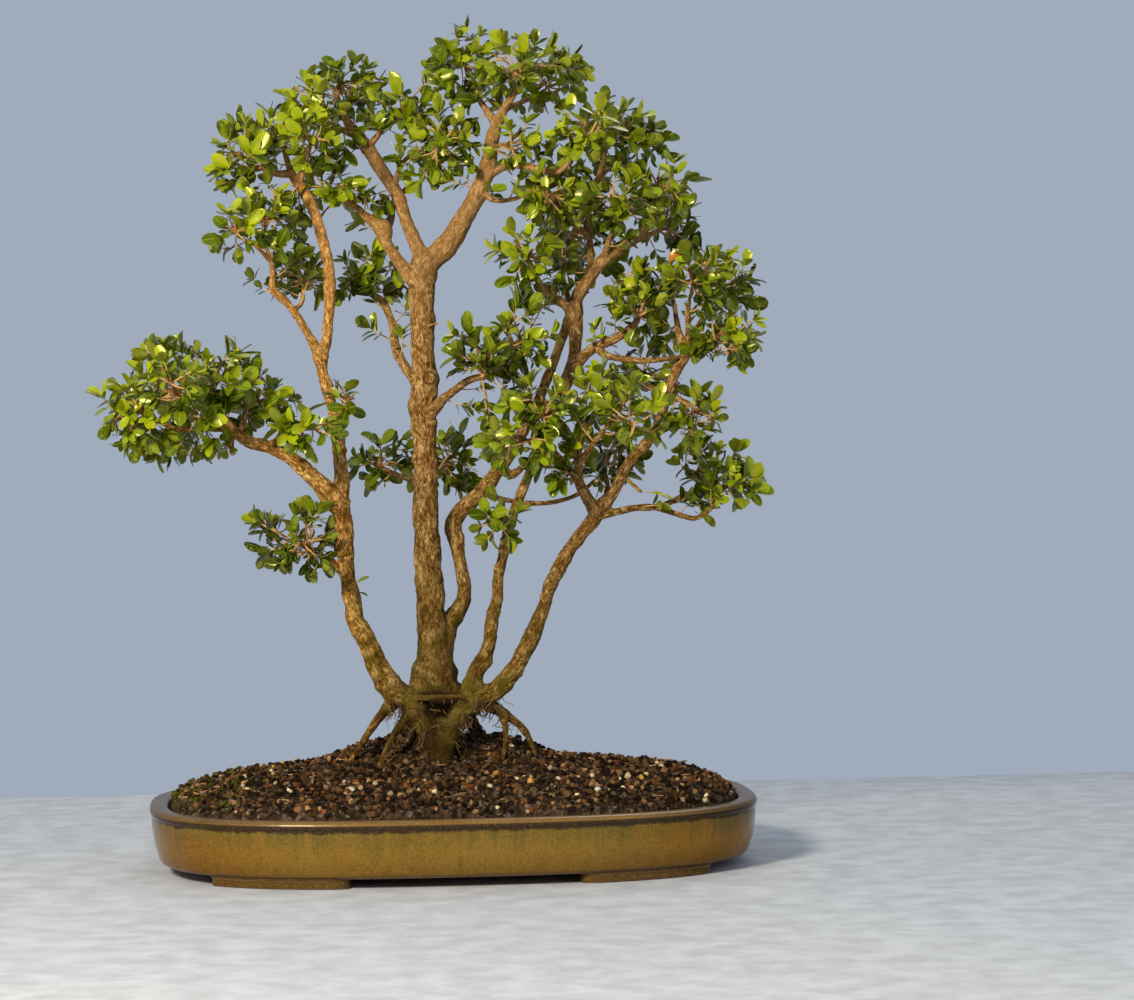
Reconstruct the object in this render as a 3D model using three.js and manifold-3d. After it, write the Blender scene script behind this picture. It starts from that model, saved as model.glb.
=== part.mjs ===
// A common box bonsai: five stems on one root base, grown in a long oval tray.
// Millimetres, Z up, seen from the front along +Y. Routes and heights are measured from the middle
// of the tray at the level of its feet. The whole group is moved at the end, so that its origin
// lies under the middle of its outer box.
import * as THREE from 'three';
import { mergeVertices } from 'three/addons/utils/BufferGeometryUtils.js';
import Module from 'manifold-3d';

// Tray
const TRAY_LENGTH = 547;
const TRAY_DEPTH = 392;
const TRAY_HEIGHT = 60;
const TRAY_SQUARENESS = 2.82; // exponent of the oval; 2 would be an ellipse
const TRAY_SIDES = 32;
const FOOT_HEIGHT = 9;
const FLOOR_THICKNESS = 8;
const LIP_WIDTH = 18;
const FOOT_INSET = 13;
const FOOT_WIDTH = 17;
const FOOT_FROM = 104; // the feet run from here to FOOT_TO along the tray, left and right
const FOOT_TO = 222;
const DRAIN_RADIUS = 14;
const DRAIN_APART = 236;

// Drain screens and the wires that hold them
const SCREEN_SIDE = 44;
const SCREEN_THICKNESS = 1;
const MESH_PITCH = 12;
const MESH_HOLE = 9;
const MESH_COUNT = 3;
const WIRE = 1.6;
const WIRE_SPREAD = 24; // how far a leg runs out under the tray

// Soil: a mound with a hump round the roots, covered in grit
const SOIL_EDGE = 56.5;
const SOIL_RISE = 32;
const SOIL_SHOULDER = 0.4; // the smaller, the steeper the mound's edge
const HUMP_RISE = 25;
const HUMP_AT = [-8, 30];
const HUMP_SIZE = [97, 45];
const LUMP = 1.6;

// Leaves and the green twigs that carry them
const LEAF_LENGTH = 21;
const LEAF_WIDTH = 12;
const LEAF_RISE = [22, 36]; // degrees from square to the twig: a lower pair, and the inner pair at a tip
const LEAF_RISE_SPREAD = 9;
const LEAF_THICKNESS = 0.9;
const TWIG_RADIUS = 1.15;
const NODE_LENGTH = 1.7; // the stretch of twig that a pair of leaves grows from
const LEAF_REACH = 14; // how far leaves stand out past the end of their twig
const WIDE_SPRAY = 56; // half the diagonal of its space: over this a spray has two side twigs
const SMALL_SPRAY = 38; // and under this none
const TWIG_TRIES = 40; // draws compared for each twig
const MOST_DRAWS = 60;

const GAP = 0.3; // between pieces that touch
const FINEST = 0.1; // edges shorter than this are closed up after a join

// Stems and boughs, each point as [x, y, z, diameter] along the middle of the wood
const STEMS = {
  left_stem: [[-13, -22, 84, 20], [-25, -18, 133, 21.5], [-35, -16, 146, 21.5], [-55, -14, 160, 21.5],
    [-86, -20, 222, 16], [-93, -28, 259, 14], [-100, -49, 331, 17], [-98, -43, 349, 12],
    [-100, -34, 385, 11.5], [-113, -20, 447, 10], [-113, -19, 460, 11.5], [-109, -19, 470, 9],
    [-105, -22, 510, 9], [-107, -22, 546, 9.5], [-122, -12, 600, 9.5], [-139, -3, 626, 7]],
  left_outer: [[-113, -19, 456, 11], [-131, -31, 490, 7], [-156, -43, 520, 7], [-162, -56, 573, 3]],
  left_arm: [[-97, -48, 324, 14.5], [-136, -65, 366, 11.5], [-158, -71, 380, 10], [-179, -78, 386, 9.5],
    [-197, -84, 397, 7.5], [-238, -96, 398, 4], [-256, -99, 404, 3]],
  trunk: [[-15, 16, 86, 35], [-15, 14, 122, 40], [-16, 10, 148, 51], [-14, 8, 181, 34.5], [-17, 7, 228, 25],
    [-20, 8, 383, 21], [-22, 6, 409, 23.5], [-19, 6, 438, 24.5], [-21, 5, 491, 21], [-20, 2, 526, 24.5],
    [-18, 0, 542, 24.5], [-2, -3, 554, 20], [35, -19, 616, 14.5], [41, -20, 643, 11.5],
    [49, -16, 671, 10]],
  left_crown: [[-18, 0, 535, 15.5], [-41, 22, 604, 11.5], [-77, 37, 663, 11], [-87, 40, 678, 6]],
  inner_left: [[-22, 0, 520, 13.5], [-30, -2, 529, 11.5], [-41, 3, 544, 10], [-53, 16, 564, 11],
    [-55, 22, 576, 14.5], [-69, 19, 585, 7], [-78, 16, 594, 6], [-100, 0, 607, 4]],
  middle_stem: [[-11, 10, 187, 20], [-2, 13, 211, 16.5], [14, 20, 238, 13], [6, 35, 303, 15.5],
    [14, 36, 316, 14.5], [46, 31, 351, 12.5], [70, 28, 387, 9.5], [94, 28, 437, 8.5],
    [115, 28, 497, 7.5], [111, 53, 537, 5], [118, 65, 559, 4]],
  near_stem: [[14, -15, 137, 18], [23, -14, 176, 14], [30, -13, 184, 14.5], [35, -12, 201, 11.5],
    [43, -11, 255, 9.5], [61, -8, 323, 8.5], [116, 3, 453, 11.5], [120, 6, 508, 12], [142, 0, 542, 11],
    [178, -12, 568, 9.5], [185, -16, 578, 7.5]],
  near_left: [[117, 6, 486, 10], [111, 0, 501, 7.5], [83, -19, 524, 6.5], [75, -28, 540, 5]],
  near_branch: [[115, 2, 444, 10], [133, -9, 464, 8.5], [150, -19, 471, 7.5], [171, -34, 488, 5]],
  right_stem: [[-6, -24, 86, 19.5], [0, -20, 129, 19], [23, -17, 150, 17], [44, -19, 161, 16],
    [53, -20, 173, 14.5], [72, -25, 209, 14.5], [92, -39, 263, 12.5], [129, -61, 319, 13.5],
    [140, -61, 332, 10], [185, -46, 391, 9], [216, -25, 464, 11.5], [217, -31, 474, 6],
    [217, -56, 512, 3.5]],
  right_front: [[129, -61, 315, 10.5], [111, -78, 347, 8.5], [109, -90, 373, 6.5], [100, -99, 390, 5.5],
    [91, -112, 402, 4]],
  right_low: [[126, -61, 315, 9], [147, -60, 317, 6], [186, -51, 321, 6], [229, -43, 337, 3.5]],
};

// The lighter wood that grows out of them
const TWIGS = {
  left_inner_a: [[-137, -5, 624, 6.5], [-151, -12, 624, 5.5], [-166, -25, 629, 4]],
  left_inner_b: [[-137, -5, 624, 6.5], [-144, 16, 650, 3.5]],
  left_inner_c: [[-131, -8, 615, 6.5], [-121, -28, 645, 3.5]],
  left_outer_b: [[-158, -48, 545, 3.5], [-173, -62, 559, 3], [-187, -71, 566, 2.5]],
  left_outer_c: [[-138, -34, 500, 4.5], [-130, -19, 508, 3.5], [-128, -3, 521, 3]],
  left_arm_a: [[-194, -84, 396, 6], [-210, -71, 424, 4]],
  left_arm_c: [[-188, -81, 392, 5.5], [-183, -46, 420, 3.5]],
  left_arm_d: [[-160, -71, 382, 5.5], [-141, -99, 397, 3]],
  left_arm_e: [[-214, -90, 399, 4.5], [-228, -121, 409, 3.5], [-239, -143, 423, 2.5]],
  left_arm_f: [[-202, -84, 401, 4.5], [-239, -22, 427, 3]],
  left_arm_stub: [[-194, -82, 395, 6], [-194, -85, 375, 4.5]],
  left_low: [[-95, -29, 264, 8], [-108, -33, 276, 6], [-124, -39, 284, 5]],
  left_sprig: [[-102, -31, 401, 4], [-92, -48, 418, 2.5]],
  right_crown_a: [[48, -16, 666, 7], [38, -6, 681, 5.5], [26, 19, 707, 4], [23, 28, 724, 3.5]],
  right_crown_b: [[48, -16, 666, 8], [56, -22, 683, 6.5], [67, -37, 704, 3.5]],
  right_crown_c: [[54, -20, 679, 5], [83, 16, 692, 3]],
  right_crown_d: [[37, -19, 620, 8], [55, -25, 628, 6.5], [99, -46, 621, 4.5], [124, -56, 646, 3]],
  right_crown_e: [[31, -17, 607, 6.5], [43, -28, 598, 4.5], [61, -37, 598, 3.5], [73, -43, 604, 2.5]],
  left_crown_a: [[-75, 37, 660, 6.5], [-87, 31, 664, 5], [-107, 0, 672, 3.5]],
  left_crown_b: [[-85, 40, 675, 5.5], [-94, 56, 705, 3]],
  left_crown_c: [[-45, 23, 611, 5.5], [-35, 12, 635, 4], [-8, -16, 651, 2.5]],
  left_crown_e: [[-67, 33, 648, 6.5], [-38, 16, 679, 3]],
  inner_left_b: [[-54, 22, 574, 9], [-46, 40, 586, 6.5], [-45, 51, 597, 5.5]],
  mid_left: [[-24, 5, 430, 11], [-29, 9, 440, 9], [-44, 34, 467, 8.5], [-51, 51, 502, 6.5],
    [-55, 54, 510, 6.5], [-65, 53, 517, 4.5]],
  mid_right: [[-19, 3, 405, 12], [19, -46, 437, 6], [33, -59, 440, 5]],
  mid_right_b: [[28, -54, 438, 4.5], [55, -34, 463, 3]],
  behind_left: [[-20, 15, 339, 9], [-29, 40, 345, 6], [-55, 90, 356, 3.5]],
  behind_right: [[-26, 34, 342, 5.5], [3, 84, 358, 3]],
  middle_stub: [[50, 29, 356, 8], [59, 20, 350, 7], [66, 17, 354, 6], [71, 19, 360, 4.5]],
  middle_thin: [[34, 34, 335, 6.5], [66, 52, 324, 4], [94, 58, 322, 4], [123, 65, 329, 3.5],
    [141, 71, 342, 3]],
  near_right_a: [[145, 0, 545, 6.5], [154, -40, 582, 3.5]],
  near_right_b: [[130, 3, 525, 8], [134, 11, 542, 6.5], [133, 28, 586, 5], [139, 31, 609, 4.5],
    [146, 28, 628, 4], [151, 19, 648, 3]],
  near_right_c: [[134, 20, 564, 5.5], [102, -9, 593, 3]],
  near_right_d: [[183, -16, 575, 6.5], [193, -22, 607, 3.5]],
  near_right_e: [[167, -9, 560, 6.5], [203, 50, 574, 3.5]],
  near_right_f: [[143, 29, 619, 4], [177, 53, 646, 3]],
  near_branch_a: [[135, -11, 464, 6.5], [146, -22, 456, 5.5], [186, -42, 452, 4.5], [204, -37, 454, 4]],
  right_upper_a: [[215, -25, 461, 8], [210, -20, 475, 6], [208, 0, 505, 3.5]],
  right_upper_c: [[217, -25, 463, 8], [228, -19, 482, 5], [252, 6, 517, 3]],
  right_upper_d: [[213, -28, 456, 7], [239, -53, 472, 3.5]],
  right_upper_f: [[197, -40, 419, 7], [215, -68, 410, 3]],
  right_upper_h: [[152, -57, 350, 4], [168, -65, 335, 2.5]],
  right_upper_i: [[193, -42, 411, 6], [186, 31, 434, 3]],
  right_front_a: [[109, -88, 370, 6], [118, -78, 391, 4.5], [128, -65, 407, 3.5]],
  right_front_b: [[112, -77, 343, 5.5], [83, -118, 378, 3]],
  right_front_c: [[110, -84, 359, 6], [133, -140, 397, 3]],
  right_low_a: [[183, -53, 321, 5.5], [218, -59, 310, 4], [230, -60, 317, 3.5], [236, -58, 326, 2.5]],
  right_back: [[137, -61, 326, 7], [142, -28, 339, 4.5], [143, 3, 355, 3]],
  near_sprig: [[54, -9, 302, 4.5], [47, -25, 311, 3]],
  crown_sprig: [[42, -20, 643, 5.5], [49, -34, 647, 3]],
};

// Roots and the stump in front, from the wood down into the soil
const ROOTS = {
  root_left: [[-47, -10, 154, 14.5], [-64, -8, 135, 8.5], [-92, -8, 95, 4.5], [-100, -8, 83, 4]],
  root_left_inner: [[-35, -12, 141, 11], [-53, -20, 119, 6.5], [-67, -26, 91, 4.5], [-72, -28, 80, 4]],
  root_right: [[25, -12, 149, 13.5], [58, -6, 126, 7], [69, -4, 113, 5.5], [77, -2, 92, 4], [81, -1, 80, 4]],
  root_right_fork: [[45, -8, 132, 7], [48, -14, 121, 5.5], [44, -22, 92, 3.5], [42, -25, 80, 3.5]],
  root_back_left: [[-24, 18, 155, 27.5], [-41, 62, 113, 11], [-48, 82, 89, 7.5], [-51, 90, 78, 6]],
  root_back_right: [[-2, 18, 154, 25.5], [27, 60, 112, 10], [39, 78, 87, 7.5], [43, 84, 78, 6]],
  cross_root: [[-39, -18, 151, 6.5], [-27, -31, 152, 5], [-11, -33, 152, 5], [4, -30, 152, 5],
    [15, -20, 147, 6.5]],
  stump: [[-10, -20, 134, 14.5], [-11, -26, 115, 16], [-12, -28, 82, 19.5]],
};

// One leafy spray on the tip of each of these: the middle of the space that its leaves fill,
// and half its width, depth and height
const SPRAYS = {
  left_arm_a: [-208, -74, 441, 34, 31, 27],
  left_arm_c: [-166, -31, 419, 32, 31, 25],
  left_arm_d: [-129, -105, 400, 31, 27, 20],
  left_arm_e: [-246, -155, 442, 34, 29, 27],
  left_arm_f: [-246, 3, 433, 34, 31, 29],
  left_low: [-138, -45, 300, 40, 45, 32],
  left_inner_a: [-180, -34, 644, 32, 31, 29],
  left_inner_b: [-147, 28, 673, 31, 31, 23],
  left_inner_c: [-123, -46, 657, 27, 29, 23],
  left_crown_a: [-120, 3, 692, 29, 31, 25],
  left_crown_b: [-83, 65, 704, 34, 31, 25],
  left_outer_b: [-187, -81, 574, 20, 25, 22],
  left_outer_c: [-131, 12, 538, 31, 29, 23],
  mid_left: [-66, 56, 539, 38, 40, 25],
  left_crown_c: [-3, -19, 650, 34, 38, 29],
  left_crown_e: [-34, 19, 686, 32, 34, 25],
  right_crown_a: [18, 31, 726, 31, 36, 25],
  right_crown_b: [62, -40, 722, 32, 31, 25],
  right_crown_c: [101, 22, 708, 32, 34, 27],
  crown_sprig: [61, -40, 650, 24, 22, 23],
  right_crown_d: [121, -62, 659, 31, 29, 25],
  near_right_b: [153, 19, 670, 31, 31, 25],
  near_right_f: [189, 59, 657, 25, 31, 25],
  right_crown_e: [89, -50, 600, 27, 27, 22],
  near_right_a: [150, -59, 599, 36, 29, 27],
  near_right_c: [105, 6, 608, 31, 31, 25],
  near_right_d: [197, -25, 612, 27, 31, 29],
  near_right_e: [210, 62, 586, 27, 31, 27],
  near_left: [63, -31, 552, 27, 29, 25],
  right_upper_a: [191, 9, 525, 29, 34, 29],
  right_upper_c: [263, 16, 529, 27, 34, 31],
  right_upper_d: [251, -53, 476, 29, 36, 27],
  near_branch: [170, -37, 503, 25, 27, 20],
  right_upper_i: [186, 40, 442, 38, 27, 22],
  mid_right: [24, -68, 461, 27, 29, 22],
  mid_right_b: [66, -28, 474, 29, 29, 29],
  right_front: [75, -124, 416, 34, 31, 25],
  right_front_a: [134, -65, 426, 38, 31, 25],
  right_front_b: [55, -133, 387, 34, 27, 22],
  right_front_c: [148, -152, 409, 32, 29, 25],
  right_upper_f: [221, -65, 405, 23, 27, 31],
  right_low: [239, -37, 361, 31, 31, 25],
  right_low_a: [257, -68, 344, 27, 27, 20],
  behind_left: [-61, 99, 365, 27, 29, 20],
  behind_right: [9, 93, 372, 23, 29, 25],
  right_back: [146, 19, 373, 36, 36, 31],
  near_sprig: [43, -32, 311, 27, 20, 20],
  left_sprig: [-92, -53, 422, 14, 16, 20],
  right_stem: [218, -68, 535, 36, 29, 25],
  middle_stem: [128, 81, 578, 38, 31, 31],
  left_arm: [-277, -99, 419, 36, 34, 34],
  inner_left: [-99, 9, 613, 31, 34, 14],
  left_outer: [-162, -53, 595, 27, 29, 29],
};

const wasm = await Module();
wasm.setup();
const { Manifold, Mesh } = wasm;

// Solids

function solid(geometry) {
  geometry.deleteAttribute('normal');
  geometry.deleteAttribute('uv');
  const merged = mergeVertices(geometry, 1e-4);
  return new Manifold(new Mesh({
    numProp: 3,
    vertProperties: new Float32Array(merged.attributes.position.array),
    triVerts: new Uint32Array(merged.index.array),
  }));
}

function geometryOf(body) {
  const mesh = body.getMesh();
  const geometry = new THREE.BufferGeometry();
  geometry.setAttribute('position', new THREE.BufferAttribute(new Float32Array(mesh.vertProperties), 3));
  geometry.setIndex(new THREE.BufferAttribute(new Uint32Array(mesh.triVerts), 1));
  return geometry;
}

// The largest body of a solid, without any loose scrap that a cut leaves
function mainBody(body) {
  return body.decompose().sort((a, b) => b.volume() - a.volume())[0];
}

// Turns for the rings of a tube, each carried on from the one before so that the tube doesn't twist
function turnsAlong(tangents) {
  const turns = [new THREE.Quaternion().setFromUnitVectors(new THREE.Vector3(0, 0, 1), tangents[0])];
  for (let i = 1; i < tangents.length; i++) {
    const bend = new THREE.Quaternion().setFromUnitVectors(tangents[i - 1], tangents[i]);
    turns.push(bend.multiply(turns[i - 1]));
  }
  return turns;
}

// A round stem through points given as [x, y, z, diameter], fatter all over by margin
function limb(points, sides, margin = 0) {
  const places = points.map(([x, y, z]) => new THREE.Vector3(x, y, z));
  const last = places.length - 1;
  const tangents = places.map((_, i) => new THREE.Vector3()
    .subVectors(places[Math.min(i + 1, last)], places[Math.max(i - 1, 0)]).normalize());
  places[0].addScaledVector(tangents[0], -margin);
  places[last].addScaledVector(tangents[last], margin);
  const turns = turnsAlong(tangents);
  const tube = new THREE.CylinderGeometry(1, 1, 1, sides, last);
  tube.rotateX(Math.PI / 2);
  const position = tube.attributes.position;
  const point = new THREE.Vector3();
  for (let i = 0; i < position.count; i++) {
    const ring = Math.round((position.getZ(i) + 0.5) * last);
    const radius = points[ring][3] / 2 + margin;
    point.set(position.getX(i) * radius, position.getY(i) * radius, 0);
    point.applyQuaternion(turns[ring]).add(places[ring]);
    position.setXYZ(i, point.x, point.y, point.z);
  }
  return solid(tube);
}

function box(width, depth, height, x, y, z) {
  return solid(new THREE.BoxGeometry(width, depth, height).translate(x, y, z));
}

// Tray

// A point of the tray's oval, drawn in from its rim by inset
function ovalPoint(angle, inset) {
  const power = 2 / TRAY_SQUARENESS;
  const along = Math.cos(angle);
  const across = Math.sin(angle);
  return [
    Math.max(TRAY_LENGTH / 2 - inset, 0) * Math.sign(along) * Math.abs(along) ** power,
    Math.max(TRAY_DEPTH / 2 - inset, 0) * Math.sign(across) * Math.abs(across) ** power,
  ];
}

// A profile of [inset, height] turned round the oval; a null inset lies on the axis
function turnedRoundOval(profile) {
  const far = TRAY_LENGTH; // a radius that keeps every inset apart from the axis
  const points = profile.map(([inset, height]) => new THREE.Vector2(inset === null ? 0 : far - inset, height));
  const lathe = new THREE.LatheGeometry(points, TRAY_SIDES);
  const position = lathe.attributes.position;
  for (let i = 0; i < position.count; i++) {
    const radius = Math.hypot(position.getX(i), position.getZ(i));
    const angle = Math.atan2(position.getX(i), position.getZ(i));
    const [x, y] = radius < 1e-6 ? [0, 0] : ovalPoint(angle, far - radius);
    position.setXYZ(i, x, y, position.getY(i));
  }
  return lathe;
}

// A low foot under the wall, between two places along the tray
function foot(side, front) {
  const inner = Math.acos((FOOT_TO / (TRAY_LENGTH / 2 - FOOT_INSET)) ** (TRAY_SQUARENESS / 2));
  const outer = Math.acos((FOOT_FROM / (TRAY_LENGTH / 2 - FOOT_INSET)) ** (TRAY_SQUARENESS / 2));
  const steps = 5;
  const rim = [];
  const back = [];
  for (let i = 0; i <= steps; i++) {
    const angle = inner + (outer - inner) * i / steps;
    rim.push(ovalPoint(angle, FOOT_INSET));
    back.unshift(ovalPoint(angle, FOOT_INSET + FOOT_WIDTH));
  }
  const outline = new THREE.Shape([...rim, ...back].map(([x, y]) => new THREE.Vector2(x, y)));
  const plate = solid(new THREE.ExtrudeGeometry(outline, { depth: FOOT_HEIGHT + 2, bevelEnabled: false }));
  return plate.scale([side, front, 1]);
}

function makeTray() {
  const floor = FOOT_HEIGHT + FLOOR_THICKNESS;
  const profile = [
    [null, FOOT_HEIGHT], [9, FOOT_HEIGHT], [7, FOOT_HEIGHT + 2.5], [3, TRAY_HEIGHT / 2], [1, TRAY_HEIGHT - 9],
    [0, TRAY_HEIGHT - 5], [0, TRAY_HEIGHT - 2.5], [2.5, TRAY_HEIGHT], [LIP_WIDTH - 2.5, TRAY_HEIGHT],
    [LIP_WIDTH, TRAY_HEIGHT - 2.5], [LIP_WIDTH + 1, floor + 7], [LIP_WIDTH + 8, floor], [null, floor],
  ];
  let tray = solid(turnedRoundOval(profile));
  for (const side of [-1, 1]) {
    for (const front of [-1, 1]) tray = tray.add(foot(side, front));
    const drain = new THREE.CylinderGeometry(DRAIN_RADIUS, DRAIN_RADIUS, 40, 16);
    tray = tray.subtract(solid(drain.rotateX(Math.PI / 2).translate(side * DRAIN_APART / 2, 0, floor)));
  }
  return tray;
}

// Drain screens

function makeScreen(side) {
  const x = side * DRAIN_APART / 2;
  const z = FOOT_HEIGHT + FLOOR_THICKNESS + GAP + SCREEN_THICKNESS / 2;
  let screen = box(SCREEN_SIDE, SCREEN_SIDE, SCREEN_THICKNESS, x, 0, z);
  for (let i = 0; i < MESH_COUNT; i++) {
    for (let j = 0; j < MESH_COUNT; j++) {
      const across = (i - (MESH_COUNT - 1) / 2) * MESH_PITCH;
      const along = (j - (MESH_COUNT - 1) / 2) * MESH_PITCH;
      screen = screen.subtract(box(MESH_HOLE, MESH_HOLE, 4, x + across, along, z));
    }
  }
  return screen;
}

// A wire over the screen, with both legs down through it and the drain hole and out under the tray
function makeScreenWire(side) {
  const middle = side * DRAIN_APART / 2;
  const leg = MESH_PITCH;
  const top = FOOT_HEIGHT + FLOOR_THICKNESS + GAP + SCREEN_THICKNESS + GAP + WIRE / 2;
  const bottom = FOOT_HEIGHT - GAP - WIRE / 2;
  const half = [[WIRE_SPREAD, bottom], [leg + 1.5, bottom], [leg, bottom + 1.5], [leg, top - 1.5], [leg - 1.5, top]];
  const route = [...half, ...half.map(([x, z]) => [-x, z]).reverse()];
  return limb(route.map(([x, z]) => [middle + x, 0, z, WIRE]), 4);
}

// Soil

function soilHeight(x, y) {
  const length = TRAY_LENGTH / 2 - LIP_WIDTH;
  const depth = TRAY_DEPTH / 2 - LIP_WIDTH;
  const out = Math.min(1, Math.abs(x / length) ** TRAY_SQUARENESS + Math.abs(y / depth) ** TRAY_SQUARENESS);
  const inward = 1 - out ** (2.5 / TRAY_SQUARENESS);
  const hump = Math.exp(-(((x - HUMP_AT[0]) / HUMP_SIZE[0]) ** 4) - ((y - HUMP_AT[1]) / HUMP_SIZE[1]) ** 2);
  const lumps = Math.sin(x * 0.31 + y * 0.17) + Math.sin(y * 0.37 - x * 0.11);
  return SOIL_EDGE + SOIL_RISE * inward ** SOIL_SHOULDER + HUMP_RISE * hump + LUMP * lumps * Math.min(1, inward * 6);
}

function makeSoil() {
  const floor = FOOT_HEIGHT + FLOOR_THICKNESS + GAP;
  const edge = LIP_WIDTH + GAP;
  const reach = TRAY_DEPTH / 2 - edge;
  const rings = [0, 0.04, 0.11, 0.22, 0.38, 0.58, 0.8].map((part) => [edge + reach * part, TRAY_HEIGHT]);
  const profile = [
    [null, floor], [LIP_WIDTH + 8 + GAP, floor], [LIP_WIDTH + 1 + GAP, floor + 7], [edge, SOIL_EDGE - 2],
    ...rings, [null, TRAY_HEIGHT],
  ];
  const mound = turnedRoundOval(profile);
  const position = mound.attributes.position;
  for (let i = 0; i < position.count; i++) {
    if (position.getZ(i) > SOIL_EDGE) position.setZ(i, soilHeight(position.getX(i), position.getY(i)));
  }
  let soil = solid(mound);
  for (const side of [-1, 1]) {
    const room = SCREEN_SIDE + 2 * GAP;
    const height = SCREEN_THICKNESS + WIRE + 4 * GAP;
    soil = soil.subtract(box(room, room, 2 * height, side * DRAIN_APART / 2, 0, floor));
  }
  const planted = [...Object.values(ROOTS), STEMS.trunk, STEMS.left_stem.slice(0, 4), STEMS.right_stem.slice(0, 4)];
  for (const route of planted) soil = soil.subtract(limb(route, sidesFor(route), GAP + 0.15));
  return mainBody(soil.simplify(FINEST));
}

// Wood

// Fewer sides on thinner wood
function sidesFor(route) {
  const girth = Math.max(...route.map((point) => point[3]));
  if (girth > 30) return 8;
  if (girth > 12) return 6;
  if (girth > 8) return 5;
  return girth > 5.6 ? 4 : 3;
}

function makeWood() {
  const routes = [...Object.values(STEMS), ...Object.values(TWIGS), ...Object.values(ROOTS)];
  return mainBody(Manifold.union(routes.map((route) => limb(route, sidesFor(route)))).simplify(FINEST));
}

// Foliage

// Repeatable random numbers from 0 to 1
function drawsFrom(seed) {
  let state = seed;
  return () => {
    state = (state + 0x6d2b79f5) | 0;
    let mixed = Math.imul(state ^ (state >>> 15), 1 | state);
    mixed = (mixed + Math.imul(mixed ^ (mixed >>> 7), 61 | mixed)) ^ mixed;
    return ((mixed ^ (mixed >>> 14)) >>> 0) / 4294967296;
  };
}

// A four-sided twig along a curve, with a pair of leaves grown out of two opposite faces at each of
// the given places along it, turned a quarter from pair to pair, and two pairs together at its end
function leafyTwig(curve, radius, places, draw) {
  const length = curve.getLength();
  const half = NODE_LENGTH / 2 / length;
  const stops = [0, ...places.flatMap((place) => [place - half, place + half])];
  const tangents = stops.map((stop) => curve.getTangent(stop));
  const turns = turnsAlong(tangents);
  const roll = draw() * Math.PI;
  const points = [];
  const faces = [];
  const rings = stops.map((stop, i) => {
    const middle = curve.getPoint(stop);
    const girth = radius * (1 - 0.3 * stop);
    return [0, 1, 2, 3].map((corner) => {
      const angle = roll + (corner + 0.5) * Math.PI / 2;
      const out = new THREE.Vector3(Math.cos(angle), Math.sin(angle), 0).multiplyScalar(girth);
      points.push(out.applyQuaternion(turns[i]).add(middle));
      return points.length - 1;
    });
  });
  const sheath = (lower, upper, side) => {
    const next = (side + 1) % 4;
    faces.push([lower[side], lower[next], upper[next]], [lower[side], upper[next], upper[side]]);
  };
  faces.push([rings[0][2], rings[0][1], rings[0][0]], [rings[0][3], rings[0][2], rings[0][0]]);
  for (let i = 1; i < rings.length; i++) {
    const pair = i % 2 === 0 ? i / 2 : 0;
    const atEnd = i === rings.length - 1;
    for (let side = 0; side < 4; side++) {
      const leads = side % 2 === pair % 2;
      if (pair && (leads || atEnd)) {
        const rise = LEAF_RISE[atEnd && leads ? 1 : 0] + LEAF_RISE_SPREAD * draw();
        growLeaf(points, faces, rings[i - 1], rings[i], side, tangents[i], THREE.MathUtils.degToRad(rise), draw);
      } else {
        sheath(rings[i - 1], rings[i], side);
      }
    }
  }
  const end = rings[rings.length - 1];
  points.push(curve.getPoint(1).addScaledVector(tangents[tangents.length - 1], 2.5));
  for (let side = 0; side < 4; side++) faces.push([end[side], end[(side + 1) % 4], points.length - 1]);
  const geometry = new THREE.BufferGeometry().setFromPoints(points);
  geometry.setIndex(faces.flat());
  return solid(geometry);
}

// One leaf out of a face of the twig: narrow at its foot, widest past the middle, blunt at its tip
function growLeaf(points, faces, lower, upper, side, along, rise, draw) {
  const next = (side + 1) % 4;
  const foot = [lower[side], lower[next], upper[next], upper[side]];
  const root = new THREE.Vector3();
  for (const corner of foot) root.addScaledVector(points[corner], 0.25);
  const across = new THREE.Vector3().subVectors(points[foot[1]], points[foot[0]]).normalize();
  const outward = new THREE.Vector3().crossVectors(across, along).normalize();
  const ahead = outward.multiplyScalar(Math.cos(rise)).addScaledVector(along, Math.sin(rise));
  ahead.addScaledVector(across, 0.2 * (draw() - 0.5)).normalize();
  across.addScaledVector(ahead, -across.dot(ahead)).normalize().applyAxisAngle(ahead, 0.4 * (draw() - 0.5));
  const above = new THREE.Vector3().crossVectors(ahead, across);
  const size = 0.82 + 0.36 * draw();
  const corner = (part, sag, wide, thick) => {
    const at = root.clone().addScaledVector(ahead, part * LEAF_LENGTH * size).addScaledVector(above, -sag);
    at.addScaledVector(across, wide * LEAF_WIDTH * size / 2).addScaledVector(above, thick * LEAF_THICKNESS / 2);
    return points.push(at) - 1;
  };
  const broad = [[-1, -1], [1, -1], [1, 1], [-1, 1]].map(([wide, thick]) => corner(0.58, 0.5, wide, thick));
  const [near, far] = [-0.4, 0.4].map((wide) => corner(1, 2.2, wide, 0));
  for (let i = 0; i < 4; i++) {
    const j = (i + 1) % 4;
    faces.push([foot[i], foot[j], broad[j]], [foot[i], broad[j], broad[i]]);
  }
  faces.push([broad[0], broad[1], far], [broad[0], far, near], [broad[1], broad[2], far]);
  faces.push([broad[2], broad[3], near], [broad[2], near, far], [broad[3], broad[0], near]);
}

// How far a spray's space reaches from its middle in a direction
function reachOf(size, direction) {
  return 1 / Math.hypot(direction.x / size[0], direction.y / size[1], direction.z / size[2]);
}

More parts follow.
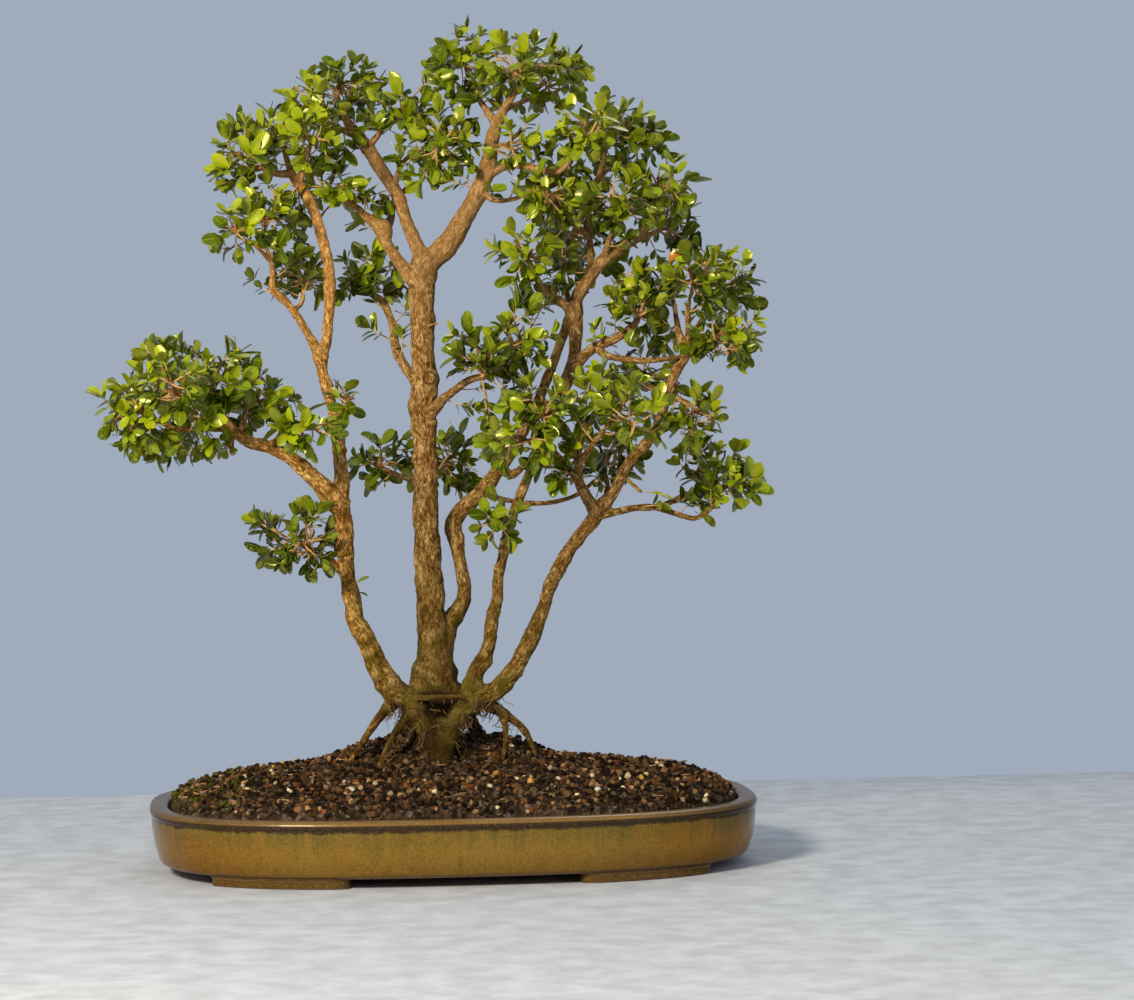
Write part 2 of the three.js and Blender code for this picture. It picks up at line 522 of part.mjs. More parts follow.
// A twig out to the edge of the spray's space. Of several draws it is the one that crosses least of
// the spray's own leaves, and it comes near nothing else
function fittedTwig(spray, start, lean, middle, size, direction, radius, pairs, draw, others) {
  let best = null;
  let cleared = 0;
  for (let attempt = 0; attempt < MOST_DRAWS && cleared < TWIG_TRIES; attempt++) {
    const aim = direction.clone().add(new THREE.Vector3(draw() - 0.5, draw() - 0.5, draw() - 0.5)
      .multiplyScalar(0.15 + 0.06 * attempt)).normalize();
    const room = reachOf(size, aim);
    const reach = Math.max(room - LEAF_REACH, room * 0.45) * (1 - 0.012 * attempt);
    const end = middle.clone().addScaledVector(aim, reach);
    const span = end.distanceTo(start);
    const bend = start.clone().addScaledVector(lean, span * 0.4);
    const curve = new THREE.QuadraticBezierCurve3(start, bend, end);
    const places = [];
    const fitting = Math.max(1, Math.min(pairs, Math.floor(span / 9)));
    for (let i = 0; i < fitting; i++) places.push(1 - 0.06 - (fitting - 1 - i) * Math.max(0.24, 9 / span));
    if (places[0] < 0.12) places.shift();
    const twig = leafyTwig(curve, radius, places, draw);
    if (others.some((other) => twig.minGap(other, GAP) < GAP - 0.01)) continue;
    cleared += 1;
    const joined = spray ? spray.add(twig) : twig;
    const tangle = joined.numTri() - twig.numTri();
    if (!best || tangle < best.tangle) best = { joined, curve, tangle };
  }
  return best;
}

// A main twig on from the tip of the wood, and side twigs out of it to all sides
function makeSpray(route, [x, y, z, ...size], seed, others) {
  const draw = drawsFrom(seed);
  const [before, tip] = route.slice(-2).map(([px, py, pz]) => new THREE.Vector3(px, py, pz));
  const lean = tip.clone().sub(before).normalize();
  const start = tip.clone().addScaledVector(lean, GAP + 0.05);
  const middle = new THREE.Vector3(x, y, z);
  const upward = middle.clone().sub(tip).normalize().add(new THREE.Vector3(0, 0, 0.7)).normalize();
  const main = fittedTwig(null, start, lean, middle, size, upward, TWIG_RADIUS, 2, draw, others);
  if (!main) return null;
  let spray = main.joined;
  const extent = Math.hypot(...size);
  const count = extent > WIDE_SPRAY ? 2 : extent > SMALL_SPRAY ? 1 : 0;
  const turn = draw() * Math.PI * 2;
  const level = new THREE.Quaternion().setFromUnitVectors(new THREE.Vector3(0, 0, 1), upward);
  for (let i = 0; i < count; i++) {
    const angle = turn + i * Math.PI * 2 / count;
    const side = new THREE.Vector3(Math.cos(angle), Math.sin(angle), 0.05).applyQuaternion(level).normalize();
    const along = 0.12 + 0.16 * i;
    const from = main.curve.getPoint(along);
    const twig = fittedTwig(spray, from, side, middle, size, side, TWIG_RADIUS * 0.8, 1, draw, others);
    if (twig) spray = twig.joined;
  }
  return mainBody(spray.simplify(FINEST));
}

// Assembly

const finishes = {
  glaze: new THREE.MeshStandardMaterial({ color: 0x8a6b2c, roughness: 0.28, metalness: 0 }),
  soil: new THREE.MeshStandardMaterial({ color: 0x3c2c22, roughness: 0.95, metalness: 0 }),
  bark: new THREE.MeshStandardMaterial({ color: 0xa07c4e, roughness: 0.85, metalness: 0 }),
  leaf: new THREE.MeshStandardMaterial({ color: 0x4f7a1f, roughness: 0.35, metalness: 0 }),
  screen: new THREE.MeshStandardMaterial({ color: 0x22242a, roughness: 0.6, metalness: 0 }),
  wire: new THREE.MeshStandardMaterial({ color: 0xa9abb0, roughness: 0.4, metalness: 0.9 }),
};
const bonsai = new THREE.Group();

function place(name, body, finish) {
  const mesh = new THREE.Mesh(geometryOf(body), finishes[finish].clone());
  mesh.name = name;
  bonsai.add(mesh);
}

place('pot', makeTray(), 'glaze');
place('soil', makeSoil(), 'soil');
for (const [side, word] of [[-1, 'left'], [1, 'right']]) {
  place(`drain_screen_${word}`, makeScreen(side), 'screen');
  place(`drain_wire_${word}`, makeScreenWire(side), 'wire');
}
const wood = makeWood();
place('wood', wood, 'bark');
const grown = [wood];
Object.entries(SPRAYS).forEach(([branch, space], i) => {
  const spray = makeSpray({ ...STEMS, ...TWIGS }[branch], space, i + 1, grown);
  if (!spray) return;
  grown.push(spray);
  place(`foliage_${branch}`, spray, 'leaf');
});

const bounds = new THREE.Box3().setFromObject(bonsai);
const centre = bounds.getCenter(new THREE.Vector3());
bonsai.position.set(-centre.x, -centre.y, -bounds.min.z);
bonsai.updateMatrixWorld(true);

export default bonsai;
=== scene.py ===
# A common box bonsai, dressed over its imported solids: bark, leaves, grit, moss and glaze.
# Shapes are worked out in millimetres from the middle of the tray, seen from the front along +Y,
# and moved into the shared frame as each mesh is made.
import math

import bpy
import numpy as np
from mathutils import Matrix, Vector, noise
from mathutils.kdtree import KDTree


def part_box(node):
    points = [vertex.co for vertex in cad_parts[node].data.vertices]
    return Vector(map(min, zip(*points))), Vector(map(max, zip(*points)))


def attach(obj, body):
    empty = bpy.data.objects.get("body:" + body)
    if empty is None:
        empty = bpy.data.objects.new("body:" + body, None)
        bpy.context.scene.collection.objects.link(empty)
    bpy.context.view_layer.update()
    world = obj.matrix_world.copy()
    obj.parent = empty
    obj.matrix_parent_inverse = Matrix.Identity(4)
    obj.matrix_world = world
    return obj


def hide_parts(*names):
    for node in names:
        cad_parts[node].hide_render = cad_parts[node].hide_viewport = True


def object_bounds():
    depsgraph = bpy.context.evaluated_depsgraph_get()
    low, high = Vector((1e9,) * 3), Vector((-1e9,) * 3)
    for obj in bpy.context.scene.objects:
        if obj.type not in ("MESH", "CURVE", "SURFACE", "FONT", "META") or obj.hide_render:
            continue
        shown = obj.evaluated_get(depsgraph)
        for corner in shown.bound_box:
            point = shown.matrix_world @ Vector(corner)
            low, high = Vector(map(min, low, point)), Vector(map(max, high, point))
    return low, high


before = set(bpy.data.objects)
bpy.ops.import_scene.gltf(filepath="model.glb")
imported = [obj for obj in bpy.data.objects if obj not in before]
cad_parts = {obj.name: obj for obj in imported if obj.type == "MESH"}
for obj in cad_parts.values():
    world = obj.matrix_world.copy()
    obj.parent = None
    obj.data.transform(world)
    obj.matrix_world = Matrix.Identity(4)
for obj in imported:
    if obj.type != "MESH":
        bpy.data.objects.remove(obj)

# The small bends of the wood start from this number, so they are the same in every run
noise.seed_set(7)


def corners(box):
    return [[float(value) for value in corner] for corner in box]


cad_box = corners(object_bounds())
tray_low, tray_high = corners(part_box("pot"))
SHIFT = np.array([(tray_low[0] + tray_high[0]) / 2, (tray_low[1] + tray_high[1]) / 2, 0.0])

# Camera, matched to the photo
CAMERA_AT = (-210.7, -3434.1, 436.6)
CAMERA_TURN = math.radians(5.30)
CAMERA_DOWN = math.radians(1.83)
CAMERA_ROLL = math.radians(0.79)
FOCAL_PIXELS = 3800
PHOTO_WIDTH = 1134
SENSOR_WIDTH = 36
SIGHT_END = 50


def aim_camera():
    across = Vector((math.cos(CAMERA_TURN), -math.sin(CAMERA_TURN), 0))
    level = Vector((math.sin(CAMERA_TURN), math.cos(CAMERA_TURN), 0))
    ahead = level * math.cos(CAMERA_DOWN) - Vector((0, 0, math.sin(CAMERA_DOWN)))
    over = level * math.sin(CAMERA_DOWN) + Vector((0, 0, math.cos(CAMERA_DOWN)))
    right = across * math.cos(CAMERA_ROLL) - over * math.sin(CAMERA_ROLL)
    up = across * math.sin(CAMERA_ROLL) + over * math.cos(CAMERA_ROLL)
    data = bpy.data.cameras.new("camera")
    data.sensor_fit = "HORIZONTAL"
    data.sensor_width = SENSOR_WIDTH
    data.lens = FOCAL_PIXELS * SENSOR_WIDTH / PHOTO_WIDTH
    data.clip_end = SIGHT_END
    camera = bpy.data.objects.new("camera", data)
    camera.matrix_world = Matrix.Translation(Vector(CAMERA_AT) / 1000 + Vector(SHIFT)) @ Matrix(
        (right, up, -ahead)).transposed().to_4x4()
    bpy.context.scene.collection.objects.link(camera)
    bpy.context.scene.camera = camera


aim_camera()

# Wood routes: each point is x, y, z and diameter along the middle of the wood
STEMS = {
    "left_stem": [[-12, -25, 84, 12], [-16, -24, 100, 14], [-21, -22, 114, 17], [-27, -19, 133, 20.5],
        [-35, -16, 146, 21.5], [-55, -14, 160, 21.5], [-64, -15, 174, 20], [-77, -18, 204, 16.5],
        [-86, -20, 222, 16], [-89, -24, 241, 16], [-93, -28, 259, 14], [-97, -44, 313, 16],
        [-100, -49, 331, 17], [-98, -43, 349, 12], [-100, -34, 385, 11.5], [-102, -31, 402, 10],
        [-106, -26, 420, 9], [-108, -25, 429, 11], [-113, -20, 447, 10], [-113, -19, 460, 11.5],
        [-109, -19, 470, 9], [-105, -22, 510, 9], [-105, -23, 528, 10], [-107, -22, 546, 9.5],
        [-115, -16, 582, 9], [-122, -12, 600, 9.5], [-133, -6, 618, 9], [-139, -3, 626, 7]],
    "left_outer": [[-113, -19, 456, 11], [-119, -22, 468, 8], [-131, -31, 490, 7], [-142, -37, 506, 6.5],
        [-156, -43, 520, 7], [-156, -46, 532, 4.5], [-157, -48, 544, 4], [-162, -53, 559, 3.5],
        [-162, -56, 573, 3]],
    "left_arm": [[-97, -48, 324, 16.2], [-136, -65, 364.5, 12.9], [-158, -71, 378.5, 11.2],
        [-179, -78, 384.5, 10.6], [-197, -84, 395.5, 8.4], [-212, -90, 397.5, 5.6], [-238, -96, 396.5, 4.5],
        [-256, -99, 402.5, 3.4]],
    "trunk": [[-15, 16, 86, 35], [-15, 14, 122, 40], [-16, 10, 148, 51], [-14, 8, 181, 34.5],
        [-16, 8, 201, 28], [-17, 7, 228, 25], [-20, 9, 310, 22.5], [-20, 8, 383, 21], [-22, 6, 409, 23.5],
        [-19, 6, 438, 24.5], [-21, 5, 457, 20.5], [-21, 5, 491, 21], [-21, 3, 509, 21.5],
        [-20, 2, 526, 24.5], [-18, 0, 542, 24.5], [-11, 0, 546, 21], [-2, -3, 554, 20], [18, -12, 584, 17],
        [35, -19, 616, 14.5], [39, -20, 629, 15], [41, -20, 643, 11.5], [44, -19, 656, 11.5],
        [49, -16, 671, 10]],
    "left_crown": [[-18, 0, 535, 15.5], [-22, 3, 550, 12.5], [-32, 12, 578, 11], [-41, 22, 604, 11.5],
        [-63, 31, 642, 12], [-77, 37, 663, 11], [-83, 39, 670, 8.5], [-87, 40, 678, 6]],
    "inner_left": [[-22, 0, 520, 13.5], [-30, -2, 529, 11.5], [-41, 3, 544, 10], [-48, 9, 555, 9.5],
        [-53, 16, 564, 11], [-55, 22, 576, 14.5], [-69, 19, 585, 7], [-78, 16, 594, 6], [-100, 0, 607, 4]],
    "middle_stem": [[-11, 10, 187, 20], [-2, 13, 211, 16.5], [14, 20, 238, 13], [11, 28, 272, 12],
        [9, 33, 290, 14.5], [6, 35, 303, 15.5], [14, 36, 316, 14.5], [36, 32, 338, 13], [46, 31, 351, 12.5],
        [70, 28, 387, 9.5], [94, 28, 437, 8.5], [115, 28, 497, 7.5], [114, 37, 513, 6], [111, 53, 537, 5],
        [118, 65, 559, 4]],
    "near_stem": [[14, -15, 137, 18], [23, -14, 176, 14], [30, -13, 184, 14.5], [35, -12, 201, 11.5],
        [37, -11, 219, 11.5], [42, -11, 237, 10], [43, -11, 255, 9.5], [51, -10, 291, 9],
        [61, -8, 323, 8.5], [77, -3, 359, 8.5], [90, -2, 388, 9], [100, 0, 414, 10], [111, 2, 437, 11.5],
        [116, 3, 453, 11.5], [118, 5, 470, 11.5], [118, 6, 490, 13.5], [120, 6, 508, 12],
        [130, 3, 526, 11.5], [142, 0, 542, 11], [178, -12, 568, 9.5], [185, -16, 578, 7.5]],
    "near_left": [[117, 6, 486, 10], [111, 0, 501, 7.5], [95, -9, 512, 7], [83, -19, 524, 6.5],
        [75, -28, 540, 5]],
    "near_branch": [[115, 2, 444, 10], [122, -3, 454, 8.5], [133, -9, 464, 8.5], [150, -19, 471, 7.5],
        [164, -28, 481, 6.5], [171, -34, 488, 5]],
    "right_stem": [[-8, -24, 86, 12], [-7, -24, 101, 13.5], [-4, -23, 113, 16], [1, -20, 129, 18],
        [11, -18, 141, 18], [23, -17, 150, 17], [35, -18, 155, 16], [44, -19, 161, 16],
        [55, -20, 173, 14.5], [74, -25, 209, 14.5], [83, -30, 233, 11], [87, -34, 247, 11],
        [94, -39, 263, 12.5], [106, -48, 285, 11.5], [124, -58, 308, 12], [131, -61, 319, 13.5],
        [142, -61, 332, 10], [158, -56, 359, 9.5], [178, -50, 381, 10], [185, -46, 391, 9],
        [206, -33, 443, 9], [213, -28, 454, 10], [216, -25, 464, 11.5], [217, -31, 474, 6],
        [215, -43, 495, 4.5], [217, -56, 512, 3.5]],
    "right_front": [[129, -61, 315, 10.5], [119, -71, 331, 9], [111, -78, 347, 8.5], [109, -90, 373, 6.5],
        [100, -99, 390, 5.5], [91, -112, 402, 4]],
    "right_low": [[126, -61, 315, 9], [135, -61, 315, 7], [147, -60, 317, 6], [160, -57, 320, 6],
        [186, -51, 321, 6], [207, -46, 329, 4.5], [229, -43, 337, 3.5]],
}

TWIGS = {
    "left_inner_a": [[-137, -5, 624, 6.5], [-151, -12, 624, 5.5], [-166, -25, 629, 4]],
    "left_inner_b": [[-137, -5, 624, 6.5], [-144, 16, 650, 3.5]],
    "left_inner_c": [[-131, -8, 615, 6.5], [-121, -28, 645, 3.5]],
    "left_outer_b": [[-158, -48, 545, 3.5], [-173, -62, 559, 3], [-187, -71, 566, 2.5]],
    "left_outer_c": [[-138, -34, 500, 4.5], [-130, -19, 508, 3.5], [-128, -3, 521, 3]],
    "left_arm_a": [[-194, -84, 396, 6], [-204, -78, 411, 5], [-210, -71, 424, 4]],
    "left_arm_c": [[-188, -81, 392, 5.5], [-183, -62, 406, 4], [-183, -46, 420, 3.5]],
    "left_arm_d": [[-160, -71, 382, 5.5], [-151, -87, 390, 4], [-141, -99, 397, 3]],
    "left_arm_e": [[-214, -90, 399, 4.5], [-228, -121, 409, 3.5], [-239, -143, 423, 2.5]],
    "left_arm_f": [[-202, -84, 401, 4.5], [-221, -50, 413, 4], [-239, -22, 427, 3]],
    "left_arm_stub": [[-194, -82, 395, 6], [-196, -84, 385, 5.5], [-194, -85, 375, 4.5]],
    "left_low": [[-95, -29, 264, 8], [-108, -33, 276, 6], [-124, -39, 284, 5]],
    "left_sprig": [[-102, -31, 401, 4], [-92, -48, 418, 2.5]],
    "right_crown_a": [[48, -16, 666, 7], [38, -6, 681, 5.5], [26, 19, 707, 4], [23, 28, 724, 3.5]],
    "right_crown_b": [[48, -16, 666, 8], [56, -22, 683, 6.5], [62, -28, 691, 5], [67, -37, 704, 3.5]],
    "right_crown_c": [[54, -20, 679, 5], [83, 16, 692, 3]],
    "right_crown_d": [[37, -19, 620, 8], [55, -25, 628, 6.5], [70, -31, 628, 6.5], [90, -40, 622, 6.5],
        [99, -46, 621, 4.5], [113, -53, 633, 3.5], [124, -56, 646, 3]],
    "right_crown_e": [[31, -17, 607, 6.5], [43, -28, 598, 4.5], [61, -37, 598, 3.5], [73, -43, 604, 2.5]],
    "left_crown_a": [[-75, 37, 660, 6.5], [-87, 31, 664, 5], [-107, 0, 672, 3.5]],
    "left_crown_b": [[-85, 40, 675, 5.5], [-91, 48, 690, 4], [-94, 56, 705, 3]],
    "left_crown_c": [[-45, 23, 611, 5.5], [-35, 12, 635, 4], [-22, -3, 644, 3.5], [-8, -16, 651, 2.5]],
    "left_crown_e": [[-67, 33, 648, 6.5], [-53, 26, 665, 4], [-38, 16, 679, 3]],
    "inner_left_b": [[-54, 22, 574, 9], [-46, 40, 586, 6.5], [-45, 51, 597, 5.5]],
    "mid_left": [[-24, 5, 430, 11], [-29, 9, 440, 9], [-36, 19, 449, 8], [-44, 34, 467, 8.5],
        [-46, 43, 485, 7], [-51, 51, 502, 6.5], [-55, 54, 510, 6.5], [-65, 53, 517, 4.5]],
    "mid_right": [[-19, 3, 405, 12], [-9, -9, 414, 9], [-3, -19, 421, 7.5], [19, -46, 437, 6],
        [33, -59, 440, 5]],
    "mid_right_b": [[28, -54, 438, 4.5], [43, -46, 450, 3.5], [55, -34, 463, 3]],
    "behind_left": [[-20, 15, 339, 9], [-29, 40, 345, 6], [-43, 68, 350, 4.5], [-55, 90, 356, 3.5]],
    "behind_right": [[-26, 34, 342, 5.5], [-12, 62, 349, 4], [3, 84, 358, 3]],
    "middle_stub": [[50, 29, 356, 8], [59, 20, 350, 7], [66, 17, 354, 6], [71, 19, 360, 4.5]],
    "middle_thin": [[34, 34, 335, 6.5], [51, 43, 327, 4.5], [66, 52, 324, 4], [94, 58, 322, 4],
        [123, 65, 329, 3.5], [141, 71, 342, 3]],
    "near_right_a": [[145, 0, 545, 6.5], [148, -22, 563, 4.5], [154, -40, 582, 3.5]],
    "near_right_b": [[130, 3, 525, 8], [134, 11, 542, 6.5], [133, 28, 586, 5], [139, 31, 609, 4.5],
        [146, 28, 628, 4], [151, 19, 648, 3]],
    "near_right_c": [[134, 20, 564, 5.5], [102, -9, 593, 3]],
    "near_right_d": [[183, -16, 575, 6.5], [190, -19, 591, 4.5], [193, -22, 607, 3.5]],
    "near_right_e": [[167, -9, 560, 6.5], [187, 22, 566, 4.5], [203, 50, 574, 3.5]],
    "near_right_f": [[143, 29, 619, 4], [160, 40, 633, 3.5], [177, 53, 646, 3]],
    "near_branch_a": [[135, -11, 464, 6.5], [146, -22, 456, 5.5], [165, -31, 453, 5], [186, -42, 452, 4.5],
        [204, -37, 454, 4]],
    "right_upper_a": [[215, -25, 461, 8], [210, -20, 475, 6], [208, 0, 505, 3.5]],
    "right_upper_c": [[217, -25, 463, 8], [228, -19, 482, 5], [241, -6, 502, 4], [252, 6, 517, 3]],
    "right_upper_d": [[213, -28, 456, 7], [227, -40, 462, 5], [239, -53, 472, 3.5]],
    "right_upper_f": [[197, -40, 419, 7], [206, -56, 416, 4.5], [215, -68, 410, 3]],
    "right_upper_h": [[152, -57, 350, 4], [168, -65, 335, 2.5]],
    "right_upper_i": [[193, -42, 411, 6], [186, 31, 434, 3]],
    "right_front_a": [[109, -88, 370, 6], [118, -78, 391, 4.5], [128, -65, 407, 3.5]],
    "right_front_b": [[112, -77, 343, 5.5], [98, -96, 361, 4.5], [83, -118, 378, 3]],
    "right_front_c": [[110, -84, 359, 6], [121, -115, 379, 4.5], [133, -140, 397, 3]],
    "right_low_a": [[183, -53, 321, 5.5], [204, -56, 313, 4.5], [218, -59, 310, 4], [230, -60, 317, 3.5],
        [236, -58, 326, 2.5]],
    "right_back": [[137, -61, 326, 7], [142, -28, 339, 4.5], [143, 3, 355, 3]],
    "near_sprig": [[54, -9, 302, 4.5], [47, -25, 311, 3]],
    "crown_sprig": [[42, -20, 643, 5.5], [49, -34, 647, 3]],
}

ROOTS = {
    "root_left": [[-47, -10, 154, 14.5], [-64, -8, 135, 8.5], [-92, -8, 95, 4.5], [-100, -8, 83, 4]],
    "root_left_inner": [[-35, -12, 141, 11], [-53, -20, 119, 6.5], [-67, -26, 91, 4.5], [-72, -28, 80, 4]],
    "root_right": [[25, -12, 149, 13.5], [58, -6, 126, 7], [69, -4, 113, 5.5], [77, -2, 92, 4],
        [81, -1, 80, 4]],
    "root_right_fork": [[45, -8, 132, 7], [48, -14, 121, 5.5], [44, -22, 92, 3.5], [42, -25, 80, 3.5]],
    "root_back_left": [[-24, 18, 155, 27.5], [-41, 62, 113, 11], [-48, 82, 89, 7.5], [-51, 90, 78, 6]],
    "root_back_right": [[-2, 18, 154, 25.5], [27, 60, 112, 10], [39, 78, 87, 7.5], [43, 84, 78, 6]],
    "cross_root": [[-39, -18, 151, 6.5], [-27, -31, 152, 5], [-11, -33, 152, 5], [4, -30, 152, 5],
        [15, -20, 147, 6.5]],
    "stump": [[-9, -18, 132, 12], [-10, -24, 115, 13], [-11, -26, 100, 16], [-11, -27, 82, 21]],
}

# Sprays on the tips of the wood: x, y, z of the middle, then half the length, depth and height
SPRAYS = {
    "left_arm_a": [-208, -74, 441, 34, 31, 27],
    "left_arm_c": [-166, -31, 419, 32, 31, 25],
    "left_arm_d": [-129, -105, 400, 31, 27, 20],
    "left_arm_e": [-246, -155, 442, 34, 29, 27],
    "left_arm_f": [-246, 3, 433, 34, 31, 29],
    "left_low": [-138, -45, 300, 40, 45, 32],
    "left_inner_a": [-180, -34, 644, 32, 31, 29],
    "left_inner_b": [-147, 28, 673, 31, 31, 23],
    "left_inner_c": [-123, -46, 657, 27, 29, 23],
    "left_crown_a": [-120, 3, 692, 29, 31, 25],
    "left_crown_b": [-83, 65, 704, 34, 31, 25],
    "left_outer_b": [-187, -81, 574, 20, 25, 22],
    "left_outer_c": [-131, 12, 538, 31, 29, 23],
    "mid_left": [-66, 56, 539, 38, 40, 25],
    "left_crown_c": [-3, -19, 655, 34, 38, 29],
    "left_crown_e": [-34, 19, 686, 32, 34, 25],
    "right_crown_a": [18, 31, 726, 31, 36, 25],
    "right_crown_b": [62, -40, 722, 32, 31, 25],
    "right_crown_c": [101, 22, 708, 32, 34, 27],
    "crown_sprig": [61, -40, 650, 24, 22, 23],
    "right_crown_d": [121, -62, 659, 31, 29, 25],
    "near_right_b": [153, 19, 670, 31, 31, 25],
    "near_right_f": [189, 59, 657, 25, 31, 25],
    "right_crown_e": [92, -50, 600, 27, 27, 22],
    "near_right_a": [150, -59, 599, 36, 29, 27],
    "near_right_c": [105, 6, 608, 31, 31, 25],
    "near_right_d": [197, -25, 612, 27, 31, 29],
    "near_right_e": [210, 62, 586, 27, 31, 27],
    "near_left": [70, -31, 553, 27, 29, 25],
    "right_upper_a": [191, 9, 525, 29, 34, 29],
    "right_upper_c": [256, 16, 527, 27, 34, 31],
    "right_upper_d": [251, -53, 476, 29, 36, 27],
    "near_branch": [170, -37, 503, 25, 27, 20],
    "right_upper_i": [186, 40, 442, 38, 27, 22],
    "mid_right": [24, -68, 461, 27, 29, 22],
    "mid_right_b": [66, -28, 474, 29, 29, 29],
    "right_front": [75, -124, 416, 34, 31, 25],
    "right_front_a": [134, -65, 426, 38, 31, 25],
    "right_front_b": [55, -133, 387, 34, 27, 22],
    "right_front_c": [148, -152, 409, 32, 29, 25],
    "right_upper_f": [221, -65, 405, 23, 27, 31],
    "right_low": [235, -37, 361, 31, 31, 25],
    "right_low_a": [250, -68, 345, 27, 27, 20],
    "behind_left": [-61, 99, 365, 27, 29, 20],
    "behind_right": [9, 93, 372, 23, 29, 25],
    "right_back": [146, 19, 373, 36, 36, 31],
    "near_sprig": [43, -32, 311, 27, 20, 20],
    "left_sprig": [-92, -53, 422, 14, 16, 20],
    "right_stem": [218, -68, 535, 36, 29, 25],
    "middle_stem": [128, 81, 578, 38, 31, 31],
    "left_arm": [-277, -99, 419, 36, 34, 34],
    "inner_left": [-99, 9, 613, 31, 34, 14],
    "left_outer": [-162, -53, 595, 27, 29, 29],
}

# Leafless twigs and cut stubs, as routes
BARE_TWIGS = {
    "inner_left_join": [[-47, 47, 592, 5.5], [-40, 46, 604, 5.2], [-32, 36, 611, 5]],
    "snag_left": [[-22, 6, 478, 4], [-15, -4, 486, 2.5], [-8, -8, 488, 1.5]],
    "snag_top_left": [[-116, 30, 578, 3], [-108, 28, 590, 2.2], [-100, 24, 598, 1.5]],
    "snag_right": [[178, -18, 379, 3.5], [199, -26, 390, 2.5], [213, -30, 396, 1.5]],
    "snag_middle": [[103, 0, 505, 3.5], [97, -2, 516, 2.2], [99, -4, 524, 1.5]],
}


# Materials


class Look:
    """A material in the making: its nodes, the links between them, and the place in the tree."""

    def __init__(self, name):
        self.made = bpy.data.materials.new(name)
        self.made.use_nodes = True
        self.nodes, self.links = self.made.node_tree.nodes, self.made.node_tree.links
        self.shader = self.nodes["Principled BSDF"]
        self.where = self.nodes.new("ShaderNodeTexCoord").outputs["Object"]
        self.x, self.y, self.z = self.split(self.where)

    def node(self, kind, **values):
        made = self.nodes.new(kind)
        for name, value in values.items():
            if name in made.inputs:
                self.put(made.inputs[name], value)
            else:
                setattr(made, name, value)
        return made

    def put(self, socket, value):
        """Gives a socket a value, or links it to the output of another node."""
        if isinstance(value, bpy.types.NodeSocket):
            self.links.new(value, socket)
        else:
            socket.default_value = (*value, 1) if socket.type == "RGBA" else value

    def split(self, value, kind="ShaderNodeSeparateXYZ"):
        apart = self.nodes.new(kind)
        self.put(apart.inputs[0], value)
        return apart.outputs

    def mark(self, name, output="Fac"):
        return self.node("ShaderNodeAttribute", attribute_name=name).outputs[output]

    def scaled(self, vector, scale):
        return self.node("ShaderNodeMapping", Scale=scale, Vector=vector).outputs["Vector"]

    def noisy(self, vector, scale, detail=4.0, rough=0.55):
        made = self.node("ShaderNodeTexNoise", Scale=scale, Detail=detail, Roughness=rough, Vector=vector)
        return made.outputs["Fac"]

    def streaky(self, vector, scale, detail, rough):
        """Noise drawn out by a scale for each direction."""
        return self.noisy(self.scaled(vector, scale), 1.0, detail, rough)

    def ramp(self, factor, stops):
        made = self.node("ShaderNodeValToRGB", Fac=factor)
        band = made.color_ramp
        while len(band.elements) < len(stops):
            band.elements.new(0.5)
        for element, (place, colour) in zip(band.elements, stops):
            element.position = place
            element.color = (*colour, 1)
        return made.outputs["Color"]

    def mixed(self, factor, first, second, blend="MIX"):
        made = self.node("ShaderNodeMix", data_type="RGBA", blend_type=blend, clamp_result=True)
        for number, value in ((0, factor), (6, first), (7, second)):
            self.put(made.inputs[number], value)
        return made.outputs[2]

    def layered(self, colour, *layers):
        """A colour with others laid over it, each by its own mask."""
        for mask, over in layers:
            colour = self.mixed(mask, colour, over)
        return colour

    def ranged(self, value, low, high, to_low=0.0, to_high=1.0):
        made = self.node("ShaderNodeMapRange", Value=value)
        for name, number in (("From Min", low), ("From Max", high), ("To Min", to_low), ("To Max", to_high)):
            made.inputs[name].default_value = number
        return made.outputs["Result"]

    def maths(self, kind, first, second=0.0):
        made = self.node("ShaderNodeMath", operation=kind)
        self.put(made.inputs[0], first)
        self.put(made.inputs[1], second)
        return made.outputs[0]

    def plus(self, first, second):
        return self.maths("ADD", first, second)

    def times(self, first, second):
        return self.maths("MULTIPLY", first, second)

    def unsigned(self, value):
        return self.maths("ABSOLUTE", value)

    def shaken(self, value, by, amount):
        """A value pushed up and down by a noise."""
        return self.plus(value, self.ranged(by, 0.3, 0.7, -amount, amount))

    def away_from(self, vector, point):
        made = self.node("ShaderNodeVectorMath", operation="DISTANCE")
        self.put(made.inputs[0], vector)
        self.put(made.inputs[1], point)
        return made.outputs["Value"]

    def bumps(self, *layers):
        """Bumps of height, strength and distance, each laid over the one before."""
        before = None
        for height, strength, distance in layers:
            made = self.node("ShaderNodeBump", Strength=strength, Distance=distance, Height=height)
            if before:
                self.put(made.inputs["Normal"], before)
            before = made.outputs["Normal"]
        self.put(self.shader.inputs["Normal"], before)

    def finish(self, **values):
        """The finished material, its shader set to the values."""
        for name, value in values.items():
            self.put(self.shader.inputs[name.replace("_", " ")], value)
        return self.made


# Rings of healed bark round two old cuts on the front of the trunk: place and radius, in metres
SCARS = [((-0.0150, -0.0085, 0.439), 0.0062), ((-0.0060, -0.0145, 0.187), 0.0042)]


